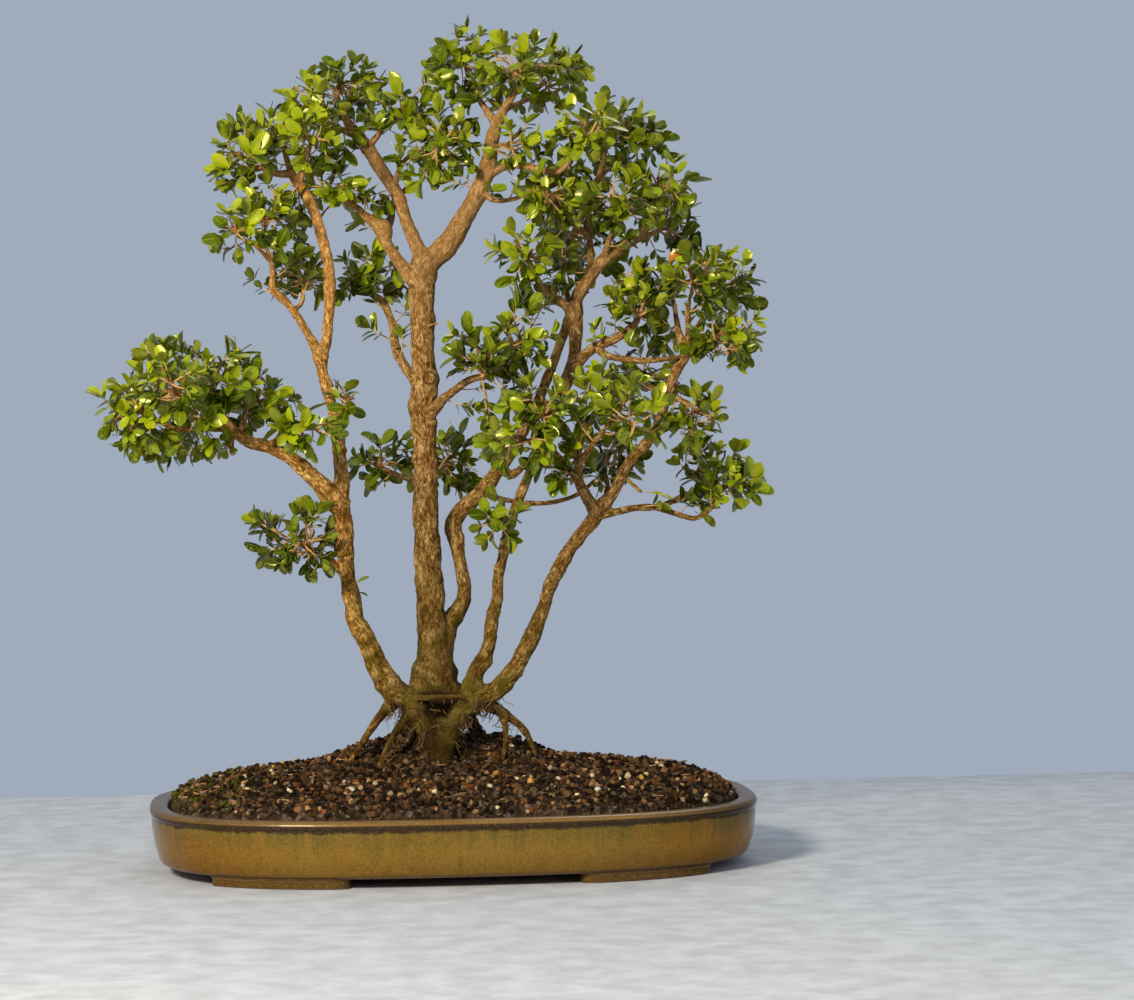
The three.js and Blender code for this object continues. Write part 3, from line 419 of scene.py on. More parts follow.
def make_bark():
    look = Look("bark")
    z, far_x = look.z, look.unsigned(look.x)
    fibre = look.mark("fibre", "Vector")
    strips = look.streaky(fibre, (1.5, 1.5, 0.26), 6, 0.74)
    fine = look.streaky(fibre, (3.2, 3.2, 1.1), 4, 0.75)
    patches = look.streaky(fibre, (0.11, 0.11, 0.045), 4, 0.65)
    plates = look.node("ShaderNodeTexVoronoi", Scale=1.0, Randomness=1.0,
                       Vector=look.scaled(fibre, (0.55, 0.55, 0.26)))
    plate = look.split(plates.outputs["Color"], "ShaderNodeSeparateColor")[0]
    streaks = look.plus(look.times(strips, 0.52), look.times(fine, 0.48))
    streaks = look.plus(streaks, look.ranged(plate, 0, 1, -0.05, 0.05))
    streaks = look.plus(streaks, look.ranged(look.mark("relief"), -1.2, 1.2, -0.07, 0.07))
    upper = look.ramp(streaks, [(0.39, (0.036, 0.010, 0.001)), (0.45, (0.175, 0.070, 0.010)),
                                (0.52, (0.34, 0.163, 0.032)), (0.62, (0.88, 0.610, 0.290))])
    lower = look.ramp(streaks, [(0.39, (0.013, 0.005, 0.001)), (0.45, (0.076, 0.031, 0.003)),
                                (0.52, (0.205, 0.100, 0.012)), (0.62, (0.66, 0.430, 0.150))])
    colour = look.mixed(look.ranged(z, 0.17, 0.48), lower, upper)
    pale = look.ranged(z, 0.46, 0.57, 0.0, 0.42)
    dark = look.ranged(patches, 0.54, 0.70, 0.0, 0.42)
    colour = look.layered(colour, (pale, (0.48, 0.265, 0.090)), (dark, (0.070, 0.028, 0.006)))
    # painted light: the bark of the left stem is made lighter, standing in for the light that falls on it
    colour = look.mixed(look.ranged(look.x, -0.040, -0.085), colour, (1.46, 1.34, 1.12), "MULTIPLY")
    # painted shade: the foot of the trunk, behind the front stems, is painted a darker brown
    foot = look.times(look.ranged(far_x, 0.044, 0.030),
                      look.ranged(look.shaken(z, patches, 0.06), 0.30, 0.17, 0.0, 0.55))
    # moss low down, but not on the surface roots
    clumps = look.noisy(look.where, 60, 5, 0.75)
    off_roots = look.maths("MAXIMUM", look.ranged(z, 0.128, 0.150), look.ranged(far_x, 0.060, 0.040))
    moss = look.times(look.ranged(clumps, 0.44, 0.60), look.ranged(z, 0.30, 0.12, 0.0, 0.78))
    moss = look.times(moss, off_roots)
    # the shaded hollow in the middle of the root base, nearly black
    to_hollow = look.away_from(look.scaled(look.where, (0.75, 0.9, 1.0)), (-0.0028, -0.0145, 0.144))
    hollow = look.ranged(look.shaken(to_hollow, clumps, 0.006), 0.019, 0.012, 0.0, 0.93)
    # soil on the foot of the wood, and the shade behind it
    soiled = look.times(look.ranged(look.shaken(z, clumps, 0.02), 0.147, 0.116, 0.0, 0.93),
                        look.ranged(far_x, 0.038, 0.055, 1.0, 0.35))
    behind = look.times(look.ranged(look.y, -0.024, -0.014),
                        look.ranged(look.shaken(z, clumps, 0.015), 0.148, 0.134))
    behind = look.times(behind, look.ranged(far_x, 0.062, 0.048, 0.0, 0.90))
    colour = look.layered(colour, (foot, (0.066, 0.032, 0.004)), (moss, (0.130, 0.112, 0.008)),
                          (hollow, (0.018, 0.010, 0.005)), (soiled, (0.040, 0.021, 0.003)),
                          (behind, (0.030, 0.014, 0.004)))
    for place, wide in SCARS:
        to_scar = look.away_from(look.where, Vector(place) + Vector(SHIFT))
        off_ring = look.shaken(look.unsigned(look.maths("SUBTRACT", to_scar, wide)), fine, 0.0006)
        ring = look.ranged(off_ring, 0.0017, 0.0007, 0.0, 0.8)
        middle = look.ranged(to_scar, 0.0022, 0.0012, 0.0, 0.7)
        colour = look.layered(colour, (ring, (0.050, 0.022, 0.005)), (middle, (0.040, 0.018, 0.004)))
    look.bumps((strips, 1.0, 0.0016), (fine, 0.9, 0.0009))
    return look.finish(Base_Color=colour, Roughness=0.85, Specular_IOR_Level=0.08)


def make_leaf():
    look = Look("leaf")
    place = look.mark("leaf", "Vector")
    side, _, under = look.split(place)
    off_rib = look.unsigned(side)
    shade = look.shaken(look.mark("tone"), look.noisy(look.where, 90, 3), 0.10)
    colour = look.ramp(shade, [(0.10, (0.012, 0.024, 0.001)), (0.36, (0.056, 0.090, 0.001)),
                               (0.58, (0.145, 0.196, 0.002)), (0.80, (0.265, 0.318, 0.004)),
                               (0.97, (0.37, 0.39, 0.007)), (1.0, (0.38, 0.095, 0.008))])
    rib = look.ranged(off_rib, 0.03, 0.13, 0.55, 0.0)
    rim = look.ranged(off_rib, 0.86, 1.0, 0.0, 0.35)
    below = look.ranged(under, 0.05, 0.5, 0.0, 0.75)
    colour = look.layered(colour, (rib, (0.34, 0.34, 0.03)), (rim, (0.33, 0.33, 0.03)),
                          (below, (0.21, 0.22, 0.02)))
    veins = look.node("ShaderNodeTexWave", bands_direction="Y", Scale=5.5, Distortion=1.2, Detail=1.0,
                      Vector=look.scaled(place, (1, 1, 0)))
    look.bumps((veins.outputs["Fac"], 0.12, 0.0004))
    return look.finish(Base_Color=colour, Roughness=0.21, Specular_IOR_Level=0.55,
                       Specular_Tint=(1.0, 0.92, 0.42))


def make_shoot():
    look = Look("shoot")
    speck = look.noisy(look.where, 400, 3)
    green = look.ramp(look.mark("tone"), [(0.2, (0.64, 0.36, 0.14)), (0.5, (0.60, 0.38, 0.12)),
                                          (0.9, (0.50, 0.42, 0.08))])
    colour = look.mixed(look.ranged(speck, 0.4, 0.65, 0.0, 0.6), green, (0.26, 0.12, 0.03))
    look.bumps((speck, 0.4, 0.0003))
    return look.finish(Base_Color=colour, Roughness=0.6)


def make_glaze():
    """Glaze that ran down the wall: ochre at the ends, the right end painted lighter as painted light, green
    under the lip, brown where it is thin.
    """
    look = Look("glaze")
    level, far_out = look.times(look.z, 1000.0), look.unsigned(look.x)
    drips = look.streaky(look.where, (85, 85, 7), 5, 0.65)
    clouds = look.streaky(look.where, (8, 8, 14), 5, 0.6)
    speck = look.noisy(look.where, 1100, 2, 0.5)
    grain = look.noisy(look.where, 420, 4, 0.7)
    cloudy_out = look.shaken(far_out, clouds, 0.06)
    run_down = look.shaken(level, drips, 9.0)
    green = look.times(look.ranged(run_down, 34, 50), look.ranged(clouds, 0.35, 0.6, 0.5, 0.95))
    # painted reflection: a grey-blue sheen of the backdrop high on the wall towards its ends
    backdrop_reflection = look.times(look.ranged(run_down, 24, 46), look.ranged(far_out, 0.205, 0.27, 0.0, 0.3))
    # painted shade: a nearly black band in the crease where the wall turns under
    crease_shade = look.times(look.ranged(level, 11.8, 10.2, 0.0, 0.85), look.ranged(level, 8.0, 9.0))
    under_lip = look.times(look.ranged(look.shaken(level, drips, 1.6), 49.0, 51.0),
                           look.ranged(level, 56.8, 55.8))
    wall = look.mixed(look.ranged(cloudy_out, 0.13, 0.22), (0.182, 0.096, 0.008), (0.144, 0.052, 0.001))
    wall = look.layered(
        # painted light: the right end of the wall, which the lamp lights less, is painted a lighter ochre
        wall, (look.ranged(look.x, 0.16, 0.26), (0.320, 0.118, 0.003)),
        (look.ranged(clouds, 0.44, 0.62, 0.0, 0.6), (0.190, 0.110, 0.015)),
        (look.ranged(drips, 0.50, 0.68, 0.0, 0.22), (0.080, 0.040, 0.002)),
        (green, (0.085, 0.064, 0.005)), (backdrop_reflection, (0.115, 0.108, 0.070)),
        (look.ranged(run_down, 26, 11, 0.0, 0.62), (0.090, 0.036, 0.002)),
        (look.ranged(level, 9.6, 8.6), (0.066, 0.030, 0.002)), (crease_shade, (0.030, 0.012, 0.003)),
        (look.ranged(grain, 0.52, 0.66, 0.0, 0.35), (0.26, 0.165, 0.035)),
        (look.ranged(grain, 0.46, 0.34, 0.0, 0.45), (0.050, 0.030, 0.002)),
        (under_lip, (0.020, 0.008, 0.003)))
    lip = look.mixed(look.ranged(clouds, 0.35, 0.65), (0.110, 0.052, 0.008), (0.175, 0.094, 0.022))
    lip = look.layered(lip, (look.ranged(speck, 0.42, 0.60, 0.0, 0.45), (0.25, 0.15, 0.05)),
                       (look.ranged(cloudy_out, 0.17, 0.25, 0.0, 0.75), (0.060, 0.030, 0.010)))
    facing = look.split(look.nodes.new("ShaderNodeTexCoord").outputs["Normal"])[2]
    bare = look.times(look.ranged(facing, -0.5, -0.7), look.ranged(level, 10.5, 9.5))
    colour = look.layered(wall, (look.ranged(level, 55.9, 57.0), lip),
                          (look.ranged(speck, 0.54, 0.70, 0.0, 0.45), (0.25, 0.155, 0.035)),
                          (look.ranged(speck, 0.42, 0.30, 0.0, 0.3), (0.07, 0.035, 0.008)),
                          (bare, (0.24, 0.125, 0.06)))
    rough = look.plus(look.ranged(bare, 0.0, 1.0, 0.13, 0.75), look.ranged(level, 55.2, 57.0, 0.0, 0.12))
    look.bumps((clouds, 0.35, 0.004), (drips, 0.25, 0.0012), (speck, 0.10, 0.0002))
    return look.finish(Base_Color=colour, Roughness=rough, Specular_Tint=(1.0, 0.92, 0.75),
                       Specular_IOR_Level=look.ranged(far_out, 0.15, 0.26, 0.36, 0.08))


def make_grit():
    look = Look("grit")
    speck = look.noisy(look.where, 900, 4, 0.7)
    colour = look.mixed(look.ranged(speck, 0.35, 0.65, 0.0, 0.75), look.mark("tint", "Color"),
                        (0.55, 0.55, 0.55), "MULTIPLY")
    look.bumps((speck, 0.8, 0.0008))
    return look.finish(Base_Color=colour, Roughness=0.85, Specular_IOR_Level=0.10)


def make_earth():
    look = Look("earth")
    cells = look.node("ShaderNodeTexVoronoi", Scale=260, Vector=look.where)
    cell = look.split(cells.outputs["Color"], "ShaderNodeSeparateColor")[0]
    colour = look.ramp(cell, [(0.0, (0.012, 0.008, 0.005)), (0.5, (0.035, 0.021, 0.012)),
                              (0.85, (0.075, 0.043, 0.024)), (1.0, (0.13, 0.10, 0.07))])
    look.bumps((cells.outputs["Distance"], 1.0, 0.003))
    return look.finish(Base_Color=colour, Roughness=0.95, Specular_IOR_Level=0.05)


def make_plain(name, colour, rough, metal=0.0, grain=600):
    look = Look(name)
    speck = look.noisy(look.where, grain, 3)
    shades = [tuple(part * light for part in colour) for light in (0.86, 1.08)]
    look.bumps((speck, 0.1, 0.0002))
    return look.finish(Base_Color=look.mixed(look.ranged(speck, 0.35, 0.65), *shades), Roughness=rough,
                       Metallic=metal)


bark = make_bark()
leaf = make_leaf()
shoot = make_shoot()
glaze = make_glaze()
grit = make_grit()
earth = make_earth()


# Meshes

# The rounded tip of a twig, in parts of its radius: how far out, and how wide there
ROUND_TIP = [(0.35, 0.88), (0.7, 0.6)]


class Heap:
    """Gathers pieces of mesh, in millimetres, with values marked on their points."""

    def __init__(self):
        self.points, self.faces, self.slots = [], [], []
        self.marks = {}
        self.count = 0

    def add(self, points, faces, slot=0, **marks):
        self.points.append(points)
        self.faces.extend([[corner + self.count for corner in face] for face in faces])
        self.slots.extend([slot] * len(faces))
        for name, values in marks.items():
            values = np.asarray(values, float)
            if values.ndim == 0:
                values = np.full(len(points), float(values))
            elif len(values) != len(points):
                values = np.tile(values, (len(points), 1))
            self.marks.setdefault(name, []).append(values)
        self.count += len(points)

    def piece(self, name, materials, angle=180.0):
        """The finished object, with edges sharper than angle left sharp."""
        mesh = bpy.data.meshes.new(name)
        points = np.concatenate(self.points) / 1000 + SHIFT
        mesh.from_pydata(points.tolist(), [], self.faces)
        mesh.polygons.foreach_set("material_index", self.slots)
        for material in materials:
            mesh.materials.append(material)
        for mark, values in self.marks.items():
            put_mark(mesh, mark, np.concatenate(values))
        mesh.shade_smooth()
        if angle < 180:
            mesh.set_sharp_from_angle(angle=math.radians(angle))
        mesh.update()
        return linked(name, mesh)


def put_mark(mesh, name, values):
    kind, field = ("FLOAT", "value") if values.ndim == 1 else ("FLOAT_VECTOR", "vector")
    mark = mesh.attributes.new(name, kind, "POINT")
    mark.data.foreach_set(field, np.ascontiguousarray(values, dtype=np.float32).ravel())


def linked(name, mesh):
    piece = bpy.data.objects.new(name, mesh)
    bpy.context.scene.collection.objects.link(piece)
    return piece


def settle(piece, slot, *nodes):
    """Fixes a piece to the root body, in the place of the nodes."""
    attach(piece, "root")
    if nodes:
        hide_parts(*nodes)


def unit(vector):
    vector = np.asarray(vector, float)
    return vector / max(np.linalg.norm(vector), 1e-9)


def evened(route, step):
    """A smooth curve through the points of a route [x, y, z, diameter], in even steps."""
    points = np.asarray(route, float)
    if len(points) == 2:
        points = np.array([points[0], points.mean(axis=0), points[1]])
    ends = np.vstack([2 * points[0] - points[1], points, 2 * points[-1] - points[-2]])
    knots = np.concatenate([[0], np.cumsum(np.linalg.norm(np.diff(ends[:, :3], axis=0), axis=1) ** 0.5)])
    samples = []
    for i in range(1, len(ends) - 2):
        a, b, c, d = ends[i - 1:i + 3]
        ta, tb, tc, td = knots[i - 1:i + 3]
        count = max(2, int(np.linalg.norm(c[:3] - b[:3]) / step))
        for t in np.linspace(tb, tc, count, endpoint=False):
            ab = a + (b - a) * (t - ta) / (tb - ta)
            bc = b + (c - b) * (t - tb) / (tc - tb)
            cd = c + (d - c) * (t - tc) / (td - tc)
            abc = ab + (bc - ab) * (t - ta) / (tc - ta)
            bcd = bc + (cd - bc) * (t - tb) / (td - tb)
            samples.append(abc + (bcd - abc) * (t - tb) / (tc - tb))
    samples.append(points[-1])
    curve = np.array(samples)
    curve[:, 3] = np.maximum(curve[:, 3], points[:, 3].min())
    return curve


def run_of(places):
    """How far along a line each of its points is."""
    return np.concatenate([[0], np.cumsum(np.linalg.norm(np.diff(places, axis=0), axis=1))])


def frames_along(places):
    """A tangent and two square directions at each place, carried along without twist."""
    tangents = np.gradient(places, axis=0)
    tangents /= np.linalg.norm(tangents, axis=1)[:, None] + 1e-12
    side = unit(np.cross(tangents[0], [0.31, 0.95, 0.12]))
    sides = []
    for tangent in tangents:
        side = unit(side - tangent * side.dot(tangent))
        sides.append(side)
    sides = np.array(sides)
    return tangents, sides, np.cross(tangents, sides)


def ring_faces(rings, count):
    """Faces between rings of as many points each, and over both ends."""
    faces = []
    for i in range(rings - 1):
        for j in range(count):
            k = (j + 1) % count
            faces.append([i * count + j, i * count + k, (i + 1) * count + k, (i + 1) * count + j])
    last = (rings - 1) * count
    return faces + [list(range(count))[::-1], [last + j for j in range(count)]]


def tube(curve, sides, tip=True):
    """Rings round a curve of [x, y, z, diameter]. Gives points, faces and places on the bark."""
    places, radii = curve[:, :3], curve[:, 3] / 2
    tangents, across, over = frames_along(places)
    along = run_of(places)
    if tip:
        out, narrowed = np.array(ROUND_TIP).T
        places = np.vstack([places] + [places[-1] + tangents[-1] * radii[-1] * part for part in out])
        across, over = (np.vstack([rows] + [rows[-1]] * len(out)) for rows in (across, over))
        along = np.concatenate([along, along[-1] + radii[-1] * out])
        radii = np.concatenate([radii, radii[-1] * narrowed])
    angles = np.arange(sides) * 2 * math.pi / sides
    round_ = np.stack([np.cos(angles), np.sin(angles)], axis=1)
    out = round_[None, :, :1] * across[:, None] + round_[None, :, 1:] * over[:, None]
    points = (places[:, None] + out * radii[:, None, None]).reshape(-1, 3)
    fibre = np.empty((len(places), sides, 3))
    fibre[..., :2] = round_[None] * radii[:, None, None]
    fibre[..., 2] = along[:, None]
    return points, ring_faces(len(places), sides), fibre.reshape(-1, 3)


def wander(curve, amount, scale, seed):
    """Small natural bends, none at either end."""
    length = np.linalg.norm(np.diff(curve[:, :3], axis=0), axis=1).sum()
    run = np.linspace(0, length, len(curve))
    ease = np.minimum(1, np.minimum(run, length - run) / (1.5 * scale))
    for i, at in enumerate(run):
        bend = noise.noise_vector(Vector((at / scale, seed * 7.3, 0.5)))
        curve[i, :3] += np.array(bend) * amount * ease[i] * min(1.0, curve[i, 3] / 8)
    return curve


# Wood

CURVE_STEP = 1.5
WANDER = 0.9
BEND_LENGTH = 21
STEM_VOXEL = 1.65
STEM_FACET, TWIG_FACET = 1.6, 2.0
SMOOTHINGS = 4
ROOT_HAIRS = 1000
HAIR_HEIGHTS = (92, 150)
SHRED_HEIGHTS = (150, 600)
# Length, girth and sag of fine roots and of shreds of bark
HAIR, SHRED = ((4, 15), (0.4, 1.3), 0.14), ((1.2, 3.2), (0.5, 1.1), 0.02)
HAIR_TINT, SHRED_TINT = (0.16, 0.09, 0.035), (0.50, 0.33, 0.15)
# Old knots and pruning scars: x, y, z, radius and rise
KNOTS = [
    [-55, 20, 575, 8, 2.4], [-33, 0, 411, 9, 2.8], [-15, -2, 439, 9, 3.0], [-46, -4, 466, 7, 2.2],
    [10, 0, 203, 9, 3.6], [-6, -12, 187, 5, 2.6], [40, -15, 188, 7, 2.6], [22, -15, 186, 6, 1.8],
    [78, -18, 203, 6, 2.2], [91, -18, 266, 6, 2.0], [134, 0, 464, 7, 2.2], [-109, -40, 429, 6, 2.0],
    [-30, -12, 160, 9, 3.0], [-98, -44, 350, 7, 2.0], [-52, -16, 150, 8, 2.6],
]


def sides_for(girth, facet):
    return int(min(48, max(7, round(math.pi * girth / facet))))


def spread_at_foot(curve):
    """The foot of a branch spreads where it leaves the wood that carries it."""
    run = run_of(curve[:, :3])
    curve[:, 3] *= 1 + 0.28 * np.exp(-(run / (1.5 * curve[0, 3] + 2)) ** 2)
    return curve


def ringed(curve, seed):
    """Swellings at the old leaf nodes."""
    run = run_of(curve[:, :3])
    swell = np.array([noise.noise(Vector((at / 9, seed * 3.1, 4.5))) for at in run])
    curve[:, 3] *= 1.01 + 0.09 * swell + 0.08 * np.maximum(0, swell - 0.25)
    return curve


def grown_curves():
    """The middle line of every stem, root and twig, as it really grew."""
    curves = {}
    for seed, (name, route) in enumerate({**STEMS, **ROOTS, **TWIGS, **BARE_TWIGS}.items()):
        curve = ringed(wander(evened(route, CURVE_STEP), WANDER, BEND_LENGTH, seed), seed)
        if name not in ROOTS and name not in ("left_stem", "trunk", "right_stem"):
            curve = spread_at_foot(curve)
        curves[name] = curve
    return curves


CURVES = grown_curves()


def changed(piece, kind, **values):
    """The mesh of a piece after one change of the kind named."""
    change = piece.modifiers.new("change", kind)
    for name, value in values.items():
        setattr(change, name, value)
    graph = bpy.context.evaluated_depsgraph_get()
    mesh = bpy.data.meshes.new_from_object(piece.evaluated_get(graph))
    piece.modifiers.clear()
    return mesh


def run_together(heap, size):
    """All the tubes of a heap run together into one skin."""
    rough = heap.piece("rough_wood", [])
    mesh = changed(rough, "REMESH", mode="VOXEL", voxel_size=size / 1000)
    bpy.data.objects.remove(rough)
    return mesh


def smoothed(points, edges, rounds):
    """Smooths without shrinking, by alternate steps in and out."""
    count = np.bincount(edges.ravel(), minlength=len(points))[:, None]
    for step in [0.5, -0.53] * rounds:
        total = np.zeros_like(points)
        for axis in range(3):
            total[:, axis] = (np.bincount(edges[:, 0], points[edges[:, 1], axis], len(points))
                              + np.bincount(edges[:, 1], points[edges[:, 0], axis], len(points)))
        points = points + step * (total / count - points)
    return points


def read_out(items, field, wide, kind=float):
    values = np.empty(len(items) * wide, dtype=kind)
    items.foreach_get(field, values)
    return values.reshape(-1, wide)


def move_points(mesh, points):
    mesh.vertices.foreach_set("co", (points / 1000 + SHIFT).ravel())
    mesh.update()


def fibre_places(points, curves):
    """Each point's place on the bark (two values round the branch, one along it) and the branch's radius."""
    samples, frames = [], []
    for number, curve in enumerate(curves):
        tangents, across, over = frames_along(curve[:, :3])
        run = run_of(curve[:, :3])
        for i in range(len(curve)):
            samples.append(curve[i])
            frames.append((tangents[i], across[i], over[i], run[i] + 97 * number))
    tree = KDTree(len(samples))
    for i, sample in enumerate(samples):
        tree.insert(sample[:3], i)
    tree.balance()
    fibre = np.empty((len(points), 3))
    radius = np.empty(len(points))
    for i, point in enumerate(points):
        best = min(tree.find_n(point, 6), key=lambda found: found[2] - samples[found[1]][3] / 2)[1]
        tangent, across, over, run = frames[best]
        radius[i] = samples[best][3] / 2
        away = point - samples[best][:3]
        turn = math.atan2(away.dot(over), away.dot(across))
        fibre[i] = (math.cos(turn) * radius[i], math.sin(turn) * radius[i], run + away.dot(tangent))
    return fibre, radius


def bark_relief(fibre, radius, points):
    """How far the bark stands proud of the smooth wood, in millimetres."""
    rise = np.empty(len(points))
    for i, (x, y, z) in enumerate(fibre):
        girth = min(1.0, radius[i] / 9)
        strips = 0.6 - 2.2 * abs(noise.noise(Vector((x / 2.6, y / 2.6, z / 9))))
        flakes = noise.noise(Vector((x / 3.0 + 9, y / 3.0, z / 4.5)))
        chips = max(0.0, noise.noise(Vector((x / 2.2, y / 2.2 + 5, z / 4.2))) - 0.12)
        lumps = noise.noise(Vector(points[i] / 12))
        old = min(1.0, max(0.0, (330 - points[i][2]) / 160))
        rise[i] = (0.40 * strips + 0.5 * flakes + 0.9 * chips) * (0.35 + 0.65 * girth)
        rise[i] += (0.9 + 0.9 * old) * lumps * girth + 0.1
    return rise


def knots_along(curves):
    """The listed knots, and small ones at odd places along every stem."""
    draw = np.random.RandomState(31)
    knots = [list(knot) for knot in KNOTS]
    for curve in curves:
        _, across, over = frames_along(curve[:, :3])
        run = run_of(curve[:, :3])
        at = draw.uniform(10, 40)
        while at < run[-1] - 8:
            i = int(np.searchsorted(run, at))
            turn = draw.uniform(0, 2 * math.pi)
            out = across[i] * math.cos(turn) + over[i] * math.sin(turn)
            girth = curve[i, 3]
            size = 1.5 + girth * draw.uniform(0.14, 0.26)
            knots.append([*(curve[i, :3] + out * girth * 0.45), size, size * draw.uniform(0.25, 0.5)])
            at += draw.uniform(16, 42)
    return knots


def knotted(points, knots):
    """Swells the old knots, the listed ones dished in the middle."""
    for number, (x, y, z, size, rise) in enumerate(knots):
        away = points - np.array([x, y, z])
        length = np.linalg.norm(away, axis=1)
        near = length < 2.5 * size
        far = length[near] / size
        dish = 0.55 if number < len(KNOTS) else 0.25
        swell = rise * (np.exp(-far ** 2) - dish * np.exp(-(far / 0.4) ** 2))
        points[near] += away[near] / (length[near][:, None] + 1e-6) * swell[:, None]
    return points


def make_stems():
    """Stems and roots in one skin with knots and bark. Returns its points and their directions."""
    heap = Heap()
    curves = []
    for name in {**STEMS, **ROOTS}:
        curve = CURVES[name]
        curves.append(curve)
        points, faces, _ = tube(curve, sides_for(curve[:, 3].max(), STEM_FACET))
        heap.add(points, faces)
    mesh = run_together(heap, STEM_VOXEL)
    points = (read_out(mesh.vertices, "co", 3) - SHIFT) * 1000
    edges = read_out(mesh.edges, "vertices", 2, np.int64)
    points = smoothed(points, edges, SMOOTHINGS)
    fibre, radius = fibre_places(points, curves)
    points = knotted(points, knots_along(curves))
    move_points(mesh, points)
    relief = bark_relief(fibre, radius, points)
    points = points + read_out(mesh.vertices, "normal", 3) * relief[:, None]
    move_points(mesh, points)
    put_mark(mesh, "fibre", fibre)
    put_mark(mesh, "relief", relief)
    mesh.materials.clear()
    mesh.materials.append(bark)
    mesh.shade_smooth()
    settle(linked("bark_stems", mesh), "wood", "wood")
    return points, read_out(mesh.vertices, "normal", 3)


def make_twigs():
    """The thin twigs, each a tube of its own with bark on it."""
    heap = Heap()
    for seed, name in enumerate({**TWIGS, **BARE_TWIGS}):
        curve = CURVES[name]
        points, faces, fibre = tube(curve, sides_for(curve[:, 3].max(), TWIG_FACET))
        fibre[:, 2] += 131 * seed
        sides = len(faces[-1])
        rise = bark_relief(fibre, np.full(len(points), curve[:, 3].mean() / 2 + 1.2), points)
        middle = np.repeat(points.reshape(-1, sides, 3).mean(axis=1), sides, axis=0)
        out = points - middle
        out /= np.linalg.norm(out, axis=1)[:, None] + 1e-9
        heap.add(points + out * rise[:, None] * 0.75, faces, fibre=fibre, relief=rise)
    settle(heap.piece("bark_twigs", [bark]), "wood", "wood")


def hair(draw, start, way, length, girth, sag):
    """A fine root or shred of bark, wandering and hanging."""
    count = max(4, int(length / 2.2))
    at, heading = np.array(start, float), unit(way)
    places = [at - heading * girth, at.copy()]
    for _ in range(count):
        heading = unit(heading + draw.normal(size=3) * 0.36 - np.array([0, 0, sag]))
        at = at + heading * length / count
        places.append(at.copy())
    return np.hstack([np.array(places), np.linspace(girth, girth * 0.4, count + 2)[:, None]])


def make_root_hairs(points, normals):
    """Fine dead roots and shreds of bark about the root base, each grown from the skin of the wood."""
    draw = np.random.RandomState(21)
    heap = Heap()
    x, _, z = points.T
    low = (z > HAIR_HEIGHTS[0]) & (z < HAIR_HEIGHTS[1]) & (np.abs(x + 2) < 62) & (normals[:, 2] < 0.35)
    hanging = 1.0 + 2.5 * np.maximum(0, -normals[:, 2]) + 0.8 * np.exp(-((z - 128) / 14) ** 2)
    shreds = np.where((z > SHRED_HEIGHTS[0]) & (z < SHRED_HEIGHTS[1]), 0.026, 0.0)
    weight = np.where(low, hanging, 0.0) + shreds
    picks = draw.choice(len(points), ROOT_HAIRS, p=weight / weight.sum())
    for i in picks:
        is_root = z[i] < HAIR_HEIGHTS[1] + 2
        if is_root:
            way = normals[i] * 0.8 + draw.normal(size=3) * 0.5 + np.array([0, 0, -0.5])
        else:
            way = normals[i] * 0.8 + draw.normal(size=3) * 0.3 + np.array([0, 0, draw.choice([-1.2, 1.2])])
        lengths, girths, sag = HAIR if is_root else SHRED
        curve = hair(draw, points[i], way, draw.uniform(*lengths), draw.uniform(*girths), sag)
        rings, faces, _ = tube(curve, 4)
        heap.add(rings, faces, tint=np.array(HAIR_TINT if is_root else SHRED_TINT) * draw.uniform(0.3, 1.8))
    settle(heap.piece("root_hairs", [grit]), "wood", "wood")


# Leaves

# A large and a small leaf: places along it, half its width there, and places across it
FINE_LEAF = ([0.08, 0.25, 0.45, 0.66, 0.84, 0.96], [0.050, 0.172, 0.250, 0.268, 0.215, 0.118],
             [-1, -0.5, 0, 0.5, 1])
PLAIN_LEAF = ([0.12, 0.38, 0.68, 0.92], [0.088, 0.236, 0.256, 0.138], [-1, 0, 1])
LARGE_LEAF = 16.2
LEAF_KINDS = 14
# Leaves are darker or lighter by a tone from 0 to 1, and a tone past ROTTEN is for a withered one
BRIGHTEST, ROTTEN = 0.82, 1.3
# Sprays higher than HIGH_UP get leaves lighter by this tone: painted light on the top of the crown
HIGH_UP, TOP_LIGHT_TONE = 600, 0.12
LEAFINESS = 1.2
GOLDEN_TURN = 2.399963
LEAF_SLOT, SHOOT_SLOT, BARK_SLOT = 0, 1, 2
LEAF_EDGE = 50
# Along a shoot: gap between two pairs, length of the first and last leaves, share of leaves missing
PAIR_GAP, VIGOUR = (4.0, 6.2), (0.80, 1.22)
FIRST_LEAF, LAST_LEAF = 9.5, 17.0
MISSING = 0.10
# How steeply leaves stand along a shoot, in its last pair, and in the four at its tip
SPREAD, LAST_SPREAD, TIP_SPREAD = (15, 58), (45, 70), (48, 78)
TIP_LEAVES = [(6, 9), (12, 18)]
TO_LIGHT, TIP_TO_LIGHT = np.array([-0.13, -0.18, 0.47]), np.array([-0.05, -0.12, 0.3])
DROOP = np.array([0, 0, 0.10])
SPRAY_TONE = 0.36
# How many forks a spray has, by its size, and the girths of forks and shoots
FORKS, FORK_SIZE = 2, 7
FORK_GIRTH, FORK_TIP, SHOOT_GIRTH = (2.6, 3.7), 1.6, (1.5, 2.3)
SHOOT_STEP, FORK_STEP = 3.2, 3.5
# Shoots between the sprays stay this far inside the box of the solids
BOX_MARGIN = 14
LEAF_LOW = (np.array(cad_box[0]) - SHIFT) * 1000
LEAF_HIGH = (np.array(cad_box[1]) - SHIFT) * 1000
